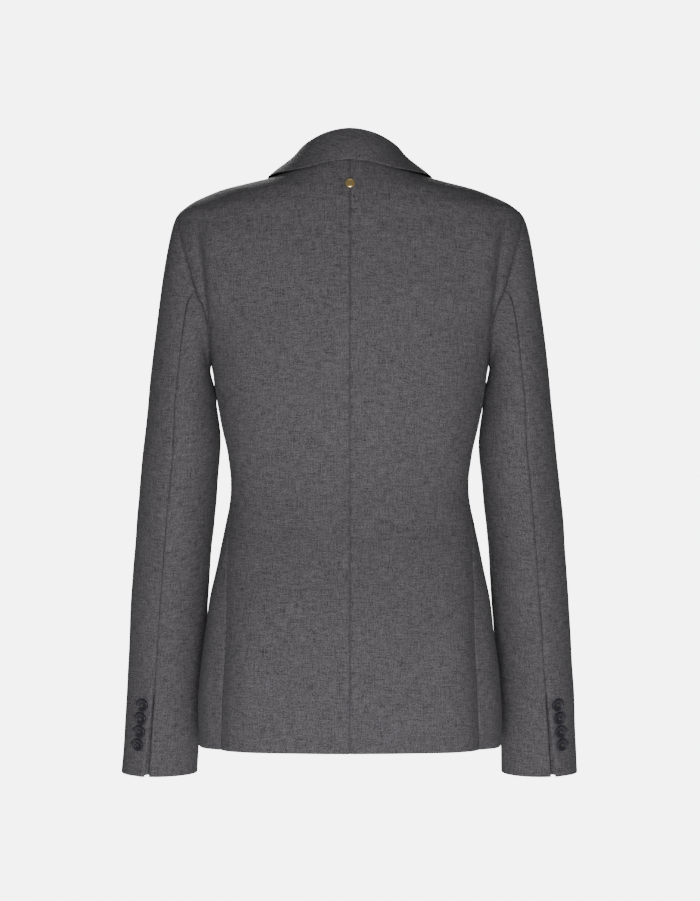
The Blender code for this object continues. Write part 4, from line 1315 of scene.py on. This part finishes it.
FINISHES = {
    "wool": material("melange_wool", WOOL_COLOUR, 1.9, 0.9, 0.12 * MM, woven=True,
                     Sheen_Weight=0.03, Sheen_Roughness=0.5, Specular_IOR_Level=0.15),
    "horn": material("dark_horn", (0.022, 0.021, 0.030, 1), 0.5, 0.34, 0.02 * MM,
                     Coat_Weight=0.15, Coat_Roughness=0.25),
    "thread": material("dark_thread", (0.078, 0.062, 0.060, 1), 0.7, 0.8, 0.05 * MM,
                       Sheen_Weight=0.1),
    "gold": material("plain_gold", (0.83, 0.62, 0.27, 1), 0.12, 0.24, 0.01 * MM, Metallic=1.0),
}

# %% [markdown]
# Each finished piece takes the place of its solid, rides on the same body and gets its
# finish. The cloth also says how large a flat piece it was cut from.

# %% Tie the pieces to the imported model
EASE = 1.02


def cut_of(obj):
    """The flat cut of a piece: how far its grid runs each way, and its cloth's area."""
    mesh = obj.data
    uv = np.empty(len(mesh.loops) * 2, np.float32)
    mesh.uv_layers["cloth"].data.foreach_get("uv", uv)
    width, length = np.ptp(uv.reshape(-1, 2), axis=0) * EASE
    areas = np.empty(len(mesh.polygons), np.float32)
    mesh.polygons.foreach_get("area", areas)
    return float(width), float(length), float(areas.sum())


for name, obj in CLOTH_PIECES.items():
    node = name.removeprefix("cloth_")
    obj.data.materials.append(FINISHES["wool"])
    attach(obj, "root")
    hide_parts(node)
    width, length, area = cut_of(obj)
    print(node, "cut", round(width, 3), "x", round(length, 3), "m, area", round(area, 4))

for obj, node, slot_name, finish in HARD_PIECES:
    obj.data.materials.append(FINISHES[finish])
    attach(obj, "root")
    if node:
        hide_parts(node)

# %% [markdown]
# The jacket hangs over a plain pale floor in soft light. One lamp faces the back and another
# the front, so the cloth that faces each is brightest and the sides fall away into shade. A
# weak lamp inside keeps the hollow from going black.

# %% Floor, light and camera
FLOOR_Z, FLOOR_SIZE = -1.5, 40.0
BACKDROP, AMBIENT, FLOOR_GLOW = 6.2, 0.2, 7.2
CAMERA_Y, CAMERA_Z, CAMERA_LENS = 3.3, -0.303, 117.7


def plain_material(name, colour, grain):
    """A finish that the camera sees lit from itself, so that a floor stays even."""
    made, g, shader, group = fed_by_group(name, colour, grain)
    shader.inputs["Roughness"].default_value = 0.9
    bright = g.add("ShaderNodeBsdfPrincipled")
    bright.inputs["Roughness"].default_value = 0.9
    bright.inputs["Emission Strength"].default_value = FLOOR_GLOW
    bright.inputs["Base Color"].default_value = (0.04, 0.04, 0.04, 1)
    g.join(group.outputs["Colour"], bright.inputs["Emission Color"])
    g.seen_or_not(shader, bright, made.node_tree.nodes["Material Output"].inputs["Surface"])
    return made


half = FLOOR_SIZE / 2
floor = mesh_object("studio_floor", [(-half, -half, FLOOR_Z), (half, -half, FLOOR_Z),
                                     (half, half, FLOOR_Z), (-half, half, FLOOR_Z)], [(0, 1, 2, 3)])
floor.data.materials.append(plain_material("pale_floor", (0.86, 0.86, 0.86, 1), 0.01))
floor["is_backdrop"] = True


def soft_light(name, place, aim, size, power):
    lamp = bpy.data.lights.new(name, "AREA")
    lamp.shape = "DISK"
    lamp.size = size
    lamp.energy = power
    obj = bpy.data.objects.new(name, lamp)
    obj.location = place
    obj.rotation_euler = (Vector(aim) - Vector(place)).to_track_quat("-Z", "Y").to_euler()
    obj.visible_camera = False
    home.objects.link(obj)
    obj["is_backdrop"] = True


WAIST = (0.0, 0.0, -0.36)
LIGHTS = (  # name, place, aim, size in metres, power in watts
    ("key_behind", (0.0, 2.2, -0.74), WAIST, 0.8, 35.5),
    ("key_front", (0.35, -2.0, 1.05), WAIST, 0.7, 44.0),
    ("overhead", (0.0, 0.0, 2.6), WAIST, 1.8, 2.5),
    ("inside_fill", (0.0, 0.0, -0.61), (0.0, 0.0, 0.0), 0.14, 0.6),
)
for light in LIGHTS:
    soft_light(*light)

world = bpy.data.worlds.new("pale_studio")
world.use_nodes = True
g = Graph(world.node_tree)
sky = world.node_tree.nodes["Background"]
seen = g.add("ShaderNodeBackground")
seen.inputs["Color"].default_value = (1, 1, 1, 1)
seen.inputs["Strength"].default_value = BACKDROP
sky.inputs["Color"].default_value = (1, 1, 1, 1)
sky.inputs["Strength"].default_value = AMBIENT
g.seen_or_not(sky, seen, world.node_tree.nodes["World Output"].inputs["Surface"])
bpy.context.scene.world = world

camera = bpy.data.cameras.new("camera")
camera.lens = CAMERA_LENS
camera_object = bpy.data.objects.new("camera", camera)
camera_object.location = (0, CAMERA_Y, CAMERA_Z)
camera_object.rotation_euler = (math.radians(90), 0, math.radians(180))
bpy.context.scene.collection.objects.link(camera_object)
bpy.context.scene.camera = camera_object

# %% [markdown]
# The finished jacket should fill the same box as the imported model, and here its box is found.

# %% The finished jacket's box
low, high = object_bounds()
